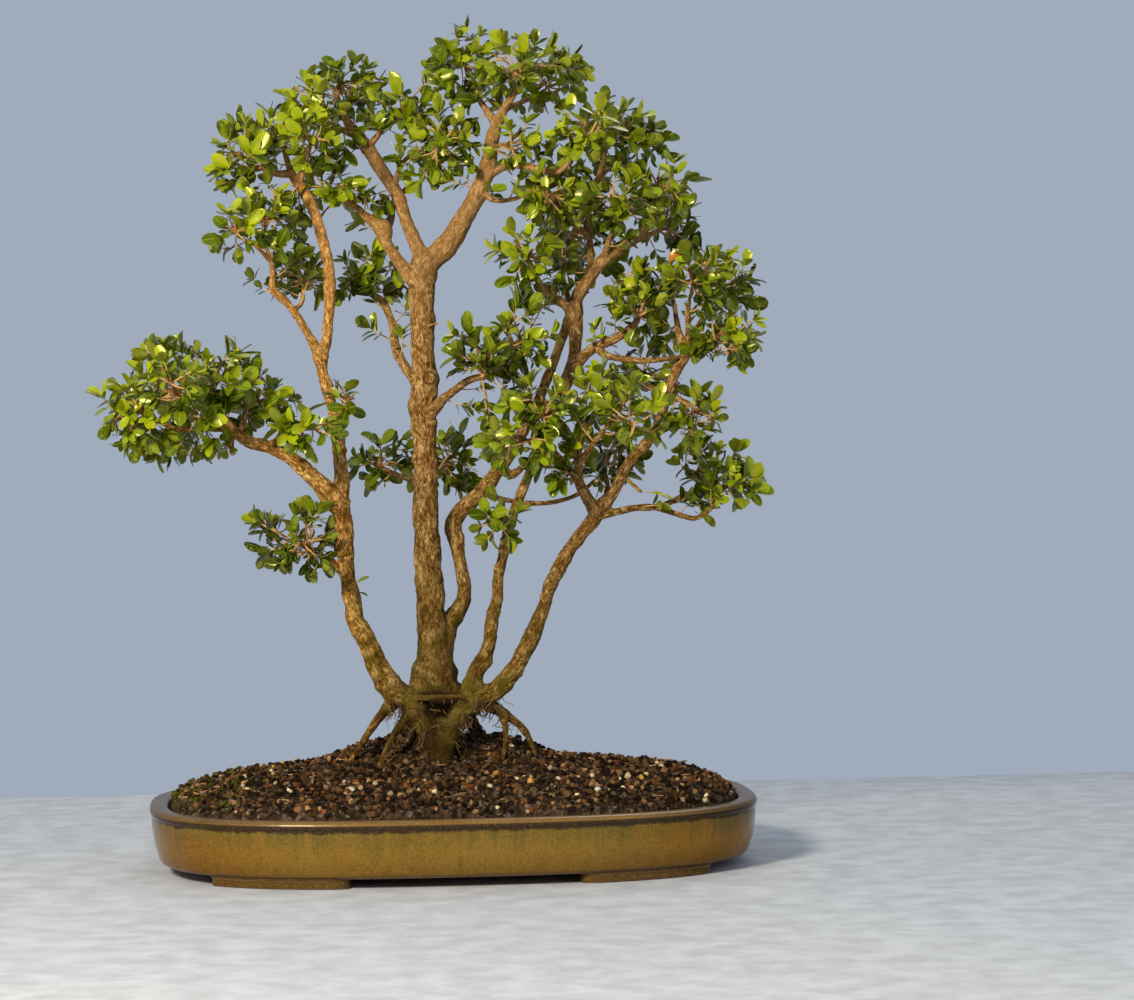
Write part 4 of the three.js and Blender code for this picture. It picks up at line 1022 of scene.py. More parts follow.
# The tone of a spray that is darker than the others, painted shade on sprays low in the tree, inside it or
# behind it, and how many more or fewer shoots a spray has
SHADED_SPRAY_TONES = {
    "left_low": 0.12, "behind_left": 0.20, "behind_right": 0.12, "mid_left": 0.24, "right_low": 0.30,
    "mid_right": 0.24, "mid_right_b": 0.28, "right_back": 0.22, "left_crown_c": 0.26, "right_upper_i": 0.26,
}
SHOOTS = {
    "left_sprig": 0.4, "right_upper_c": 1.1, "left_crown_e": 0.7, "near_right_b": 1.3, "near_right_a": 1.25,
    "near_right_c": 1.2, "right_upper_d": 1.25, "right_crown_d": 1.2, "right_crown_e": 1.2,
    "right_front": 1.2, "mid_right": 1.2,
}
# Single leaves: route, place along it, direction, length and tone
SINGLE_LEAVES = [
    ["right_upper_h", 1.0, (1, -0.2, -0.12), 21, 0.75], ["left_stem", 0.335, (0.7, -0.3, 0.5), 13, 0.3],
    ["left_stem", 0.33, (0.9, -0.3, -0.2), 9, 0.25], ["left_stem", 0.63, (0.8, -0.5, 0.5), 14, 0.55],
    ["left_stem", 0.62, (0.8, -0.5, -0.4), 10, 0.35], ["trunk", 0.76, (0.9, -0.5, 0.1), 8, 0.3],
    ["middle_thin", 0.1, (-0.2, -0.6, 0.8), 20, 0.7],
]
# One withered leaf among the green ones
RUSTY_LEAF = (198, -45, 540)
# Where single shoots end, between the sprays
LONE_SHOOTS = [
    # on top of the crown
    (-2, -20, 722), (-6, -30, 707), (6, 10, 739), (15, 20, 747), (24, 25, 752), (36, 30, 749),
    (71, -20, 739), (80, -35, 734), (91, -40, 729), (101, -40, 720), (114, -35, 724), (122, -30, 713),
    # on top of the left crown
    (-103, 30, 718), (-91, 40, 722), (-78, 50, 725), (-66, 60, 722), (-54, 60, 714), (-185, -10, 670),
    (-189, -20, 655), (-182, -25, 644),
    # on top of the left arm
    (-267, -120, 466), (-256, -100, 469), (-246, -90, 467), (-236, -60, 466), (-225, -50, 465),
    (-189, -40, 462), (-178, -30, 455), (-169, -35, 446),
    # inside the left crown, low
    (-143, -10, 596), (-138, -5, 581), (-131, 0, 565), (-125, 0, 587), (-117, 5, 626), (-110, 10, 619),
    (-65, 20, 605), (-54, 15, 598),
    # on the middle boughs, high
    (61, -40, 500), (72, -45, 497), (5, -70, 477), (16, -75, 475), (76, -20, 517), (91, -10, 508),
    (101, 0, 517),
    # beside the trunk, behind it
    (-37, 95, 382), (-30, 90, 371), (-36, 95, 358),
    # at the right, between the boughs
    (205, -50, 391), (209, -50, 376), (225, 30, 562), (235, 25, 556),
    # under the left arm
    (-286, -95, 388), (-273, -110, 382), (-261, -85, 377), (-248, -60, 373), (-234, -95, 376),
    (-221, -75, 377), (-208, -60, 379), (-197, -90, 376), (-281, -70, 397), (-257, -50, 387),
    (-230, -60, 386), (-266, -120, 392), (-240, -115, 384),
    # below the crown, between its two boughs
    (-34, -10, 624), (-21, -20, 617), (-6, 0, 621), (5, -25, 615), (17, -10, 620), (-39, 5, 633),
    (23, -30, 629), (-12, 20, 629),
    # about the tip of the left bough
    (-85, 40, 682), (-77, 30, 672), (-67, 45, 666), (-82, 25, 660), (-61, 35, 676), (-55, 20, 663),
    # on the middle boughs, to the right of the trunk
    (46, -50, 450), (58, -40, 438), (49, -60, 423), (59, -50, 414), (41, -55, 461), (65, -45, 454),
    (31, -70, 401), (36, -80, 389), (43, -85, 381), (34, -60, 378),
    # behind the right crown
    (185, 20, 485), (195, 30, 475), (202, 10, 466), (210, 0, 472), (190, 30, 462), (177, 25, 471),
    # among the fine twigs of the right crown
    (96, 10, 549), (106, 20, 536), (114, 15, 522), (122, 30, 543), (131, 20, 555), (99, 5, 562),
    (135, 25, 535), (149, 20, 542), (158, 25, 533), (167, 15, 542), (154, 10, 520),
    # low on the middle, behind
    (4, 85, 346), (13, 90, 341), (22, 80, 337), (0, 95, 353), (27, 85, 346),
    # below the right front
    (87, -60, 359), (97, -50, 348), (105, -60, 353), (79, -70, 365),
    # on the left, low in the crown
    (-116, 15, 520), (-104, 20, 513), (-93, 30, 518), (-125, 10, 523),
    # inside the crown
    (13, 10, 695), (24, 0, 688), (34, -10, 683), (44, 0, 691), (52, -15, 678), (17, 5, 678), (30, -10, 671),
    (68, -30, 642), (83, -20, 637), (97, -10, 643), (112, 0, 634), (91, -25, 623), (120, -10, 622),
    # inside the left crown
    (-105, 0, 645), (-96, 10, 636), (-87, 20, 646), (-77, 25, 651), (-101, 5, 625), (-138, -20, 604),
    (-131, -15, 591), (-134, -20, 574), (-129, -10, 563), (-143, -30, 586),
]


def leaf_form(form, cup, bend, twist, broad, wave):
    """A closed leaf one unit long: foot at the origin, along +Y, upper side +Z. Points, faces and marks."""
    spots, halves, across = form

    def shaped(side, along, half, drop):
        x = side * half * broad
        z = (cup * abs(side) ** 1.6 * half - bend * along ** 2
             + wave * math.sin(7 * along + 2 * side) * half - drop)
        turn = twist * along
        return (x * math.cos(turn) - z * math.sin(turn), along * (1 - 0.25 * bend ** 2),
                x * math.sin(turn) + z * math.cos(turn))

    points, marks = [(0, 0, 0)], [(0, 0, 0)]
    for along, half in zip(spots, halves):
        for side in across:
            points.append(shaped(side, along, half, 0.006 if side == 0 else 0))
            marks.append((side, along, 0))
        points.append(shaped(0, along, half, 0.028))
        marks.append((0, along, 1))
    points.append(shaped(0, 1.0, 0, 0.01))
    marks.append((0, 1, 0))
    faces = []
    ring = len(across) + 1
    last = 1 + (len(spots) - 1) * ring
    for j in range(ring):
        k = (j + 1) % ring
        faces.append([0, 1 + k, 1 + j])
        for i in range(len(spots) - 1):
            a, b = 1 + i * ring, 1 + (i + 1) * ring
            faces.append([a + j, a + k, b + k, b + j])
        faces.append([last + j, last + k, len(points) - 1])
    return np.array(points), faces, np.array(marks, float)


def leaf_forms(form):
    """Leaves of one form, each cupped, bent, twisted, broadened and waved in its own way."""
    draw = np.random.RandomState(5)
    limits = [(0.05, 0.5), (-0.02, 0.26), (-0.25, 0.25), (0.86, 1.12), (-0.1, 0.1)]
    return [leaf_form(form, *(draw.uniform(*pair) for pair in limits)) for _ in range(LEAF_KINDS)]


FINE_FORMS = leaf_forms(FINE_LEAF)
PLAIN_FORMS = leaf_forms(PLAIN_LEAF)


def add_leaf(heap, at, ahead, above, length, tone, draw):
    ahead = unit(ahead)
    above = unit(above - ahead * ahead.dot(above))
    across = np.cross(ahead, above)
    forms = FINE_FORMS if length > LARGE_LEAF else PLAIN_FORMS
    points, faces, marks = forms[draw.randint(len(forms))]
    turned = points[:, :1] * across + points[:, 1:2] * ahead + points[:, 2:] * above
    if tone <= ROTTEN:
        tone = min(BRIGHTEST, tone + draw.uniform(-0.19, 0.19))
    heap.add(turned * length + at, faces, LEAF_SLOT, leaf=marks, tone=tone, fibre=(0, 0, 0))


def bowed(start, aim, end, count):
    """Points along a bent line that sets out from start towards aim."""
    t = np.linspace(0, 1, count)[:, None]
    return start * (1 - t) ** 2 + 2 * aim * t * (1 - t) + end * t ** 2


def kinked(path, amount, seed):
    """The small zigzag that opposite shoots leave in a twig."""
    for i in range(1, len(path) - 1):
        path[i] += np.array(noise.noise_vector(Vector((i * 0.71, seed * 3.7, 9.1)))) * amount
    return path


def green_path(start, aim, end, reach, kink, seed):
    """The bent and kinked line of a green shoot, a point every few millimetres."""
    return kinked(bowed(start, aim, end, max(5, int(reach / SHOOT_STEP))), kink, seed)


def add_wood(heap, path, first_girth, last_girth, sides, slot, tone):
    taper = np.linspace(first_girth, last_girth, len(path))[:, None]
    points, faces, fibre = tube(np.hstack([path, taper]), sides)
    heap.add(points, faces, slot, leaf=(0, 0, 0), tone=tone, fibre=fibre)


def add_shoot(heap, path, girth, tone, draw, bare=0.38):
    """A green shoot with pairs of leaves, each a quarter turn from the pair before, the largest last."""
    add_wood(heap, path, girth, girth * 0.55, 4, SHOOT_SLOT, tone)
    tangents, across, over = frames_along(path)
    run = run_of(path)
    turn = draw.uniform(0, math.pi)
    at = max(2.0, run[-1] * bare)
    gap = draw.uniform(*PAIR_GAP)
    stops = list(np.arange(run[-1], at, -gap))[::-1]
    vigour = draw.uniform(*VIGOUR)
    for number, stop in enumerate(stops):
        i = min(len(path) - 1, int(np.searchsorted(run, stop)))
        part = (number + 1) / len(stops)
        length = vigour * draw.uniform(0.75, 1.2) * (FIRST_LEAF + (LAST_LEAF - FIRST_LEAF) * part)
        rise = math.radians(draw.uniform(*(LAST_SPREAD if part == 1 else SPREAD)))
        for side in (0, math.pi):
            if draw.rand() < MISSING:
                continue
            spin = turn + side + draw.uniform(-0.4, 0.4)
            out = across[i] * math.cos(spin) + over[i] * math.sin(spin)
            ahead = out * math.cos(rise) + tangents[i] * math.sin(rise)
            ahead = ahead + draw.uniform(-0.2, 0.2, 3) - DROOP
            above = tangents[i] * 0.85 - out * 0.3 + TO_LIGHT + draw.uniform(-0.3, 0.3, 3)
            long = length * draw.uniform(0.85, 1.1)
            add_leaf(heap, path[i] + out * girth * 0.3, ahead, above, long, tone + 0.18 * part, draw)
        turn += math.pi / 2 + draw.uniform(-0.2, 0.2)
    for side in range(4):
        spin = turn + side * math.pi / 2 + draw.uniform(-0.3, 0.3)
        out = across[-1] * math.cos(spin) + over[-1] * math.sin(spin)
        rise = math.radians(draw.uniform(*TIP_SPREAD))
        ahead = out * math.cos(rise) + tangents[-1] * math.sin(rise)
        above = tangents[-1] * 0.7 - out + TIP_TO_LIGHT
        length = vigour * draw.uniform(*TIP_LEAVES[side % 2])
        add_leaf(heap, path[-1], ahead, above, length, tone + 0.28, draw)


def on_ball(number, count, seed, draw):
    """One of count directions spread evenly all round, a little shaken."""
    lift = 1 - 2 * (number + 0.5) / count
    spin = number * GOLDEN_TURN + seed
    flat = math.sqrt(max(0.0, 1 - lift ** 2))
    way = np.array([math.cos(spin) * flat, math.sin(spin) * flat, lift - 0.06])
    return unit(way + draw.uniform(-0.3, 0.3, 3))


def make_spray(name, seed):
    """A forked limb with leafy shoots all round. Returns the points that shoots can start from."""
    draw = np.random.RandomState(seed)
    middle, size = np.array(SPRAYS[name], float).reshape(2, 3)
    curve = CURVES[name]
    tip, lean = curve[-1, :3], unit(curve[-1, :3] - curve[-4, :3])
    heap = Heap()
    # painted shade: sprays low, inside or behind the tree take a darker tone
    tone = SHADED_SPRAY_TONES.get(name, SPRAY_TONE + draw.uniform(-0.09, 0.09))
    # painted light: a spray high in the crown is lighter
    if middle[2] > HIGH_UP:
        tone += TOP_LIGHT_TONE
    heart = middle + (tip - middle) * 0.2 + np.array([0, 0, -0.1 * size[2]])
    span = np.linalg.norm(heart - tip)
    limb = kinked(bowed(tip - lean * 3, tip + lean * span * 0.45, heart, 12), 1.2, seed)
    add_wood(heap, limb, curve[-1, 3], 1.8, 7, BARK_SLOT, 0.5)
    volume = size.prod() ** (1 / 3)
    carriers = [limb[4:]]
    forks = int(round(FORKS + volume / FORK_SIZE))
    for number in range(forks):
        way = on_ball(number, forks, seed + 1, draw)
        end = middle + way * size * draw.uniform(0.42, 0.66)
        start = limb[draw.randint(2, 12)]
        reach = np.linalg.norm(end - start)
        if reach < 8:
            continue
        aim = start + unit(lean * 0.7 + way * 0.6 + np.array([0, 0, 0.1])) * reach * 0.45
        path = kinked(bowed(start, aim, end, max(6, int(reach / FORK_STEP))), 1.3, seed + number)
        add_wood(heap, path, draw.uniform(*FORK_GIRTH), FORK_TIP, 6, BARK_SLOT, 0.5)
        carriers.append(path[2:])
    spots = np.concatenate(carriers)
    shoots = int(round(SHOOTS.get(name, 1.0) * (volume / 8.4) ** 2 * LEAFINESS))
    for number in range(shoots):
        way = on_ball(number, shoots, seed, draw)
        bulge = noise.noise(Vector(way * 1.9 + np.array([seed * 1.7, 0, 0])))
        end = middle + way * size * min(0.95, max(0.40, draw.uniform(0.58, 0.88) * (1 + 0.40 * bulge)))
        end = end - np.array([0, 0, 4.0])
        away = np.linalg.norm(spots - (end - way * 10 - np.array([0, 0, 12])), axis=1)
        start = spots[np.argsort(away)[draw.randint(min(6, len(spots)))]]
        reach = np.linalg.norm(end - start)
        if reach < 7:
            end = start + way * 9
            reach = 9.0
        aim = start + unit(lean * 0.3 + way + np.array([0, 0, -0.1])) * reach * 0.5
        path = green_path(start, aim, end, reach, 0.6, seed + number)
        girth = draw.uniform(*SHOOT_GIRTH)
        # painted light and shade: shoots on the top of a spray are lighter, those at its back darker
        lit = tone + 0.15 * way[2] - 0.08 * way[1] + draw.uniform(-0.15, 0.15)
        add_shoot(heap, path, girth, lit, draw)
    settle(heap.piece(f"leaves_{name}", [leaf, shoot, bark], LEAF_EDGE), "foliage", f"foliage_{name}")
    return spots


def add_single_leaves(heap, draw):
    """Single leaves on short stalks, away from the sprays."""
    for name, at, way, length, tone in SINGLE_LEAVES:
        start = CURVES[name][int(at * (len(CURVES[name]) - 1)), :3]
        way = unit(way)
        path = bowed(start, start + way * 4, start + way * 8, 5)
        add_wood(heap, path, 1.2, 0.7, 4, SHOOT_SLOT, tone)
        add_leaf(heap, path[-1], way, np.array([0.1, -0.45, 1.0]), length, tone, draw)


def add_twig_shoots(heap, draw):
    """Short leafy shoots along the outer part of the twigs."""
    for name in SPRAYS:
        curve = CURVES[name]
        run = run_of(curve[:, :3])
        tangents, across, over = frames_along(curve[:, :3])
        at = run[-1] * 0.35 if name in TWIGS else max(0.0, run[-1] - 60)
        while at < run[-1] - 3:
            i = min(len(run) - 1, int(np.searchsorted(run, at)))
            at += draw.uniform(12, 24)
            turn = draw.uniform(0, 2 * math.pi)
            out = across[i] * math.cos(turn) + over[i] * math.sin(turn)
            start = curve[i, :3] + out * curve[i, 3] * 0.4
            way = unit(out + tangents[i] * draw.uniform(0.2, 0.9) + np.array([0, 0, draw.uniform(-0.1, 0.6)]))
            reach = draw.uniform(9, 25)
            end = start + way * reach + np.array([0, 0, draw.uniform(-3, 4)])
            if not np.all((end > LEAF_LOW + BOX_MARGIN) & (end < LEAF_HIGH - BOX_MARGIN)):
                continue
            aim = start + (out + way) * reach * 0.25
            path = green_path(start, aim, end, reach, 0.5, at)
            girth = draw.uniform(1.2, 1.8)
            add_shoot(heap, path, girth, 0.34 + draw.uniform(-0.15, 0.15), draw, 0.3)


def nearest(spots, place):
    return spots[np.argmin(np.linalg.norm(spots - place, axis=1))]


def add_rusty_leaf(heap, spots, draw):
    end = np.array(RUSTY_LEAF, float)
    start = nearest(spots, end)
    path = bowed(start, (start + end) / 2 + [3, 0, 3], end, 6)
    add_wood(heap, path, 1.4, 0.8, 4, SHOOT_SLOT, 0.4)
    add_leaf(heap, end, np.array([0.5, -0.5, 0.7]), np.array([-0.2, -0.8, 0.3]), 15, ROTTEN + 0.1, draw)


def add_lone_shoots(heap, spots, draw):
    for end in LONE_SHOOTS:
        end = np.array(end, float)
        start = nearest(spots, end)
        reach = np.linalg.norm(end - start)
        if reach > 70:
            continue
        if reach < 10:
            end = start + unit(end - start + [0, 0, 3]) * 10
        aim = (start + end) / 2 + draw.uniform(-0.12, 0.12, 3) * reach
        path = green_path(start, aim, end, reach, 0.8, reach)
        girth = draw.uniform(1.3, 2.0)
        add_shoot(heap, path, girth, 0.30 + draw.uniform(-0.14, 0.14), draw, 0.35)


def make_side_shoots(carriers):
    """The leaves between the sprays, those that start at a carrier the last."""
    draw = np.random.RandomState(77)
    heap = Heap()
    add_twig_shoots(heap, draw)
    add_single_leaves(heap, draw)
    spots = np.concatenate(carriers + [CURVES[name][::3, :3] for name in TWIGS])
    add_rusty_leaf(heap, spots, draw)
    add_lone_shoots(heap, spots, draw)
    settle(heap.piece("side_shoots", [leaf, shoot], LEAF_EDGE), "foliage")


# Tray

TRAY_LENGTH, TRAY_DEPTH, TRAY_HEIGHT = 547.0, 392.0, 60.0
SQUARENESS = 2.82
LIP_WIDTH = 18
FOOT_HEIGHT = 9
FLOOR = 17
FOOT_FROM, FOOT_TO = 104, 222
DRAIN_RADIUS, DRAIN_APART, DRAIN_SIDES = 14, 236, 32
FOOT_INSET = 13
TRAY_SIDES, TRAY_EDGE = 220, 60
# The tray's section from under its middle round the lip to the middle of its floor: inset, height, radius
TRAY_SECTION = [
    (120, FOOT_HEIGHT, 0), (30, FOOT_HEIGHT, 0), (14, FOOT_HEIGHT, 1), (8.2, 11, 3.5), (3.4, 27, 6),
    (1.2, 47, 3), (1.7, 51.6, 1.2), (0.1, 53.8, 1.2), (0, 58.2, 2.6), (3.6, TRAY_HEIGHT, 2.2),
    (15, TRAY_HEIGHT, 2.4), (LIP_WIDTH, 57, 2.4), (19, 24, 6), (26, FLOOR, 3), (60, FLOOR, 0),
]
# A foot's section, from its inner side to its outer side, and how far in its middle line is
FOOT_SECTION = [(28.5, 12, 0), (29.5, 0.9, 1.2), (26, 0.0, 1.0), (16, 0.0, 1.0), (12.6, 1.4, 1.2),
                (13.6, 6.0, 1.0), (11.6, 8.4, 1.0), (12.4, 12, 0)]
FOOT_MIDDLE, FOOT_STEPS = 21, 34


def oval(angle, inset):
    """Where the tray's edge, a squared oval, is at an angle, moved in by the inset."""
    return np.stack([np.maximum(size / 2 - inset, 0) * np.sign(part) * np.abs(part) ** (2 / SQUARENESS)
                     for size, part in ((TRAY_LENGTH, np.cos(angle)), (TRAY_DEPTH, np.sin(angle)))], axis=-1)


def even_angles(count):
    """Angles that step evenly round the oval's edge."""
    fine = np.linspace(0, 2 * math.pi, 7201)
    run = run_of(oval(fine, 0.0))
    return np.interp(np.linspace(0, run[-1], count, endpoint=False), run, fine)


def loft(rings):
    return np.concatenate(rings), ring_faces(len(rings), len(rings[0]))


def rounded(corners_of, steps=4):
    """A profile of [inset, height, radius] with its corners rounded off."""
    out = []
    for i, (x, z, radius) in enumerate(corners_of):
        here = np.array([x, z], float)
        if radius == 0 or i in (0, len(corners_of) - 1):
            out.append(here)
            continue
        before = np.array(corners_of[i - 1][:2], float)
        after = np.array(corners_of[i + 1][:2], float)
        first, last = here + unit(before - here) * radius, here + unit(after - here) * radius
        for t in np.linspace(0, 1, steps + 1):
            out.append(first * (1 - t) ** 2 + 2 * here * t * (1 - t) + last * t ** 2)
    return out


def make_pot():
    """The tray with its two drain holes, and its four feet."""
    angles = even_angles(TRAY_SIDES)
    rings = []
    for inset, height in rounded(TRAY_SECTION):
        flat = oval(angles, inset)
        ripple = np.array([noise.noise(Vector((px / 40, py / 40, height / 30))) for px, py in flat])
        flat = flat * (1 + 0.0012 * ripple[:, None])
        rings.append(np.column_stack([flat, np.full(len(flat), height)]))
    heap = Heap()
    points, faces = loft(rings)
    half = np.array([TRAY_LENGTH, TRAY_DEPTH]) / 2
    points[:, :2] = np.clip(points[:, :2], -half, half)
    heap.add(points, faces)
    tray = heap.piece("glazed_tray", [glaze], TRAY_EDGE)
    for side in (-1, 1):
        cut = Heap()
        middle = side * DRAIN_APART / 2
        turn = np.linspace(0, 2 * math.pi, DRAIN_SIDES, endpoint=False)
        ring = np.column_stack([middle + DRAIN_RADIUS * np.cos(turn), DRAIN_RADIUS * np.sin(turn), turn * 0])
        cut.add(*loft([ring + [0, 0, -5], ring + [0, 0, 30]]))
        cutter = cut.piece("cutter", [glaze])
        tray.data = changed(tray, "BOOLEAN", operation="DIFFERENCE", solver="EXACT", object=cutter)
        bpy.data.objects.remove(cutter)
    for side in (-1, 1):
        for front in (-1, 1):
            foot = Heap()
            foot.add(*tray_foot(side, front))
            where = f"{'left' if side < 0 else 'right'}_{'front' if front < 0 else 'back'}"
            settle(foot.piece(f"tray_foot_{where}", [glaze], TRAY_EDGE), "pot", "pot")
    settle(tray, "pot", "pot")


def tray_foot(side, front):
    """A low foot under the wall, its ends drawn in and its edges rounded, as the clay was pressed on."""
    inner = math.acos((FOOT_TO / (TRAY_LENGTH / 2 - FOOT_INSET)) ** (SQUARENESS / 2))
    outer = math.acos((FOOT_FROM / (TRAY_LENGTH / 2 - FOOT_INSET)) ** (SQUARENESS / 2))
    section = rounded(FOOT_SECTION, 3)
    rings = []
    for i in range(FOOT_STEPS + 1):
        part = i / FOOT_STEPS
        angle = inner + (outer - inner) * part
        shy = 5.0 * (1 - math.sqrt(max(0.0, 1 - max(0.0, 1 - 9 * min(part, 1 - part)) ** 2)))
        ring = []
        for inset, height in section:
            inset = FOOT_MIDDLE + (inset - FOOT_MIDDLE) * (1 - shy / 9)
            press = 0.35 * math.sin(i * 1.9) * (1 if 1 < height < 8 else 0)
            flat = oval(np.array(angle), inset + press)
            ring.append([flat[0] * side, flat[1] * front, height])
        rings.append(np.array(ring))
    points, faces = loft(rings)
    if side * front < 0:
        faces = [face[::-1] for face in faces]
    return points, faces


# Soil

SOIL_EDGE, SOIL_RISE, SOIL_SHOULDER = 56.5, 32, 0.4
HUMP_RISE, HUMP_AT, HUMP_SIZE = 25, (-8, 30), (97, 45)
LUMP = 1.6
# The bed lies this far under the top of the grit
UNDER_GRIT = 1.6
# How common each colour of grit is
GRIT_TINTS = [
    (0.34, (0.014, 0.006, 0.001)), (0.22, (0.064, 0.031, 0.008)), (0.17, (0.130, 0.060, 0.019)),
    (0.10, (0.205, 0.108, 0.042)), (0.07, (0.108, 0.074, 0.032)), (0.03, (0.190, 0.056, 0.012)),
    (0.045, (0.360, 0.205, 0.092)), (0.018, (0.720, 0.550, 0.320)), (0.007, (0.560, 0.270, 0.050)),
]
GRIT_COUNT, GRIT_CELL, GRIT_EDGE = 5800, 3.7, 46
PEBBLE_FORMS = 24
SOIL_SIDES, SOIL_RINGS = 130, 46
CHIPS = 90
MOSS_TINT, CHIP_TINT = (0.056, 0.056, 0.004), (0.42, 0.25, 0.11)
# Stones that stand out in the photo: x, y, radius, colour
STRAY_STONES = [
    (62, -118, 4.6, (0.62, 0.33, 0.08)), (86, -112, 2.8, (0.72, 0.60, 0.38)),
    (-96, -128, 3.0, (0.75, 0.66, 0.50)), (118, -140, 3.2, (0.74, 0.68, 0.52)),
    (24, -142, 2.6, (0.70, 0.60, 0.42)), (150, -90, 3.4, (0.60, 0.42, 0.24)),
    (-150, -120, 2.8, (0.70, 0.56, 0.36)), (196, -80, 3.0, (0.66, 0.44, 0.20)),
    (84, -60, 4.0, (0.55, 0.36, 0.20)), (-30, -100, 3.4, (0.66, 0.46, 0.22)),
    (-190, -60, 2.6, (0.55, 0.42, 0.24)), (34, -82, 2.8, (0.50, 0.20, 0.06)),
]


def soil_height(x, y):
    x, y = np.asarray(x, float), np.asarray(y, float)
    length, depth = TRAY_LENGTH / 2 - LIP_WIDTH, TRAY_DEPTH / 2 - LIP_WIDTH
    out = np.minimum(1, np.abs(x / length) ** SQUARENESS + np.abs(y / depth) ** SQUARENESS)
    inward = np.maximum(1 - out ** (2.5 / SQUARENESS), 0)
    hump = np.exp(-((x - HUMP_AT[0]) / HUMP_SIZE[0]) ** 4 - ((y - HUMP_AT[1]) / HUMP_SIZE[1]) ** 2)
    lumps = np.sin(x * 0.31 + y * 0.17) + np.sin(y * 0.37 - x * 0.11)
    return (SOIL_EDGE + SOIL_RISE * inward ** SOIL_SHOULDER + HUMP_RISE * hump
            + LUMP * lumps * np.minimum(1, inward * 6))


def make_soil():
    """The bed under the grit: down inside the lip, then over the mound in rings that draw in."""
    angles = even_angles(SOIL_SIDES)
    edge = LIP_WIDTH + 0.6
    rings = [np.column_stack([oval(angles, inset), np.full(SOIL_SIDES, height)])
             for inset, height in ((60.0, 30.0), (LIP_WIDTH + 2.0, 34.0), (edge, 54.0))]
    for part in np.linspace(0, 0.99, SOIL_RINGS) ** 1.4:
        flat = oval(angles, 0.0) * (1 - edge / (TRAY_DEPTH / 2)) * (1 - part)
        flat = flat * [(TRAY_LENGTH / 2 - edge) / (TRAY_LENGTH / 2) / (1 - edge / (TRAY_DEPTH / 2)), 1]
        height = soil_height(flat[:, 0], flat[:, 1]) - UNDER_GRIT
        rings.append(np.column_stack([flat, height]))
    heap = Heap()
    heap.add(*loft(rings))
    settle(heap.piece("soil_bed", [earth]), "soil", "soil")


def pebble_forms(count):
    """Small rough stones: the twelve corners of a regular solid, pushed about."""
    golden = (1 + math.sqrt(5)) / 2
    base = np.array([[a, b * golden, 0] for a in (-1, 1) for b in (-1, 1)]
                    + [[0, a, b * golden] for a in (-1, 1) for b in (-1, 1)]
                    + [[b * golden, 0, a] for a in (-1, 1) for b in (-1, 1)], float)
    base /= np.linalg.norm(base[0])
    near = [[i, j, k] for i in range(12) for j in range(i + 1, 12) for k in range(j + 1, 12)
            if max(np.linalg.norm(base[i] - base[j]), np.linalg.norm(base[j] - base[k]),
                   np.linalg.norm(base[i] - base[k])) < 1.1]
    faces = []
    for i, j, k in near:
        outward = np.cross(base[j] - base[i], base[k] - base[i]).dot(base[i]) > 0
        faces.append([i, j, k] if outward else [i, k, j])
    draw = np.random.RandomState(3)
    forms = []
    for _ in range(count):
        form = base * draw.uniform(0.72, 1.22, (12, 1)) * draw.uniform(0.7, 1.25, 3)
        forms.append(form)
    return forms, faces


def random_turns(draw, count):
    quads = draw.normal(size=(count, 4))
    quads /= np.linalg.norm(quads, axis=1)[:, None]
    w, x, y, z = quads.T
    turns = np.stack([1 - 2 * (y * y + z * z), 2 * (x * y - z * w), 2 * (x * z + y * w),
                      2 * (x * y + z * w), 1 - 2 * (x * x + z * z), 2 * (y * z - x * w),
                      2 * (x * z - y * w), 2 * (y * z + x * w), 1 - 2 * (x * x + y * y)], axis=1)
    return turns.reshape(-1, 3, 3)


def scattered(draw, count, inset):
    """Places spread over the soil, none crowding another."""
    taken = {}
    places = []
    length, depth = TRAY_LENGTH / 2 - inset, TRAY_DEPTH / 2 - inset
    for _ in range(count * 14):
        if len(places) == count:
            break
        x = draw.uniform(-1, 1) * length
        y = draw.uniform(-1, 1) * depth
        if (abs(x) / length) ** SQUARENESS + (abs(y) / depth) ** SQUARENESS > 1:
            continue
        cell = (int(x // GRIT_CELL), int(y // GRIT_CELL))
        if cell in taken and draw.rand() > 0.16:
            continue
        taken[cell] = True
        places.append((x, y))
    return np.array(places)


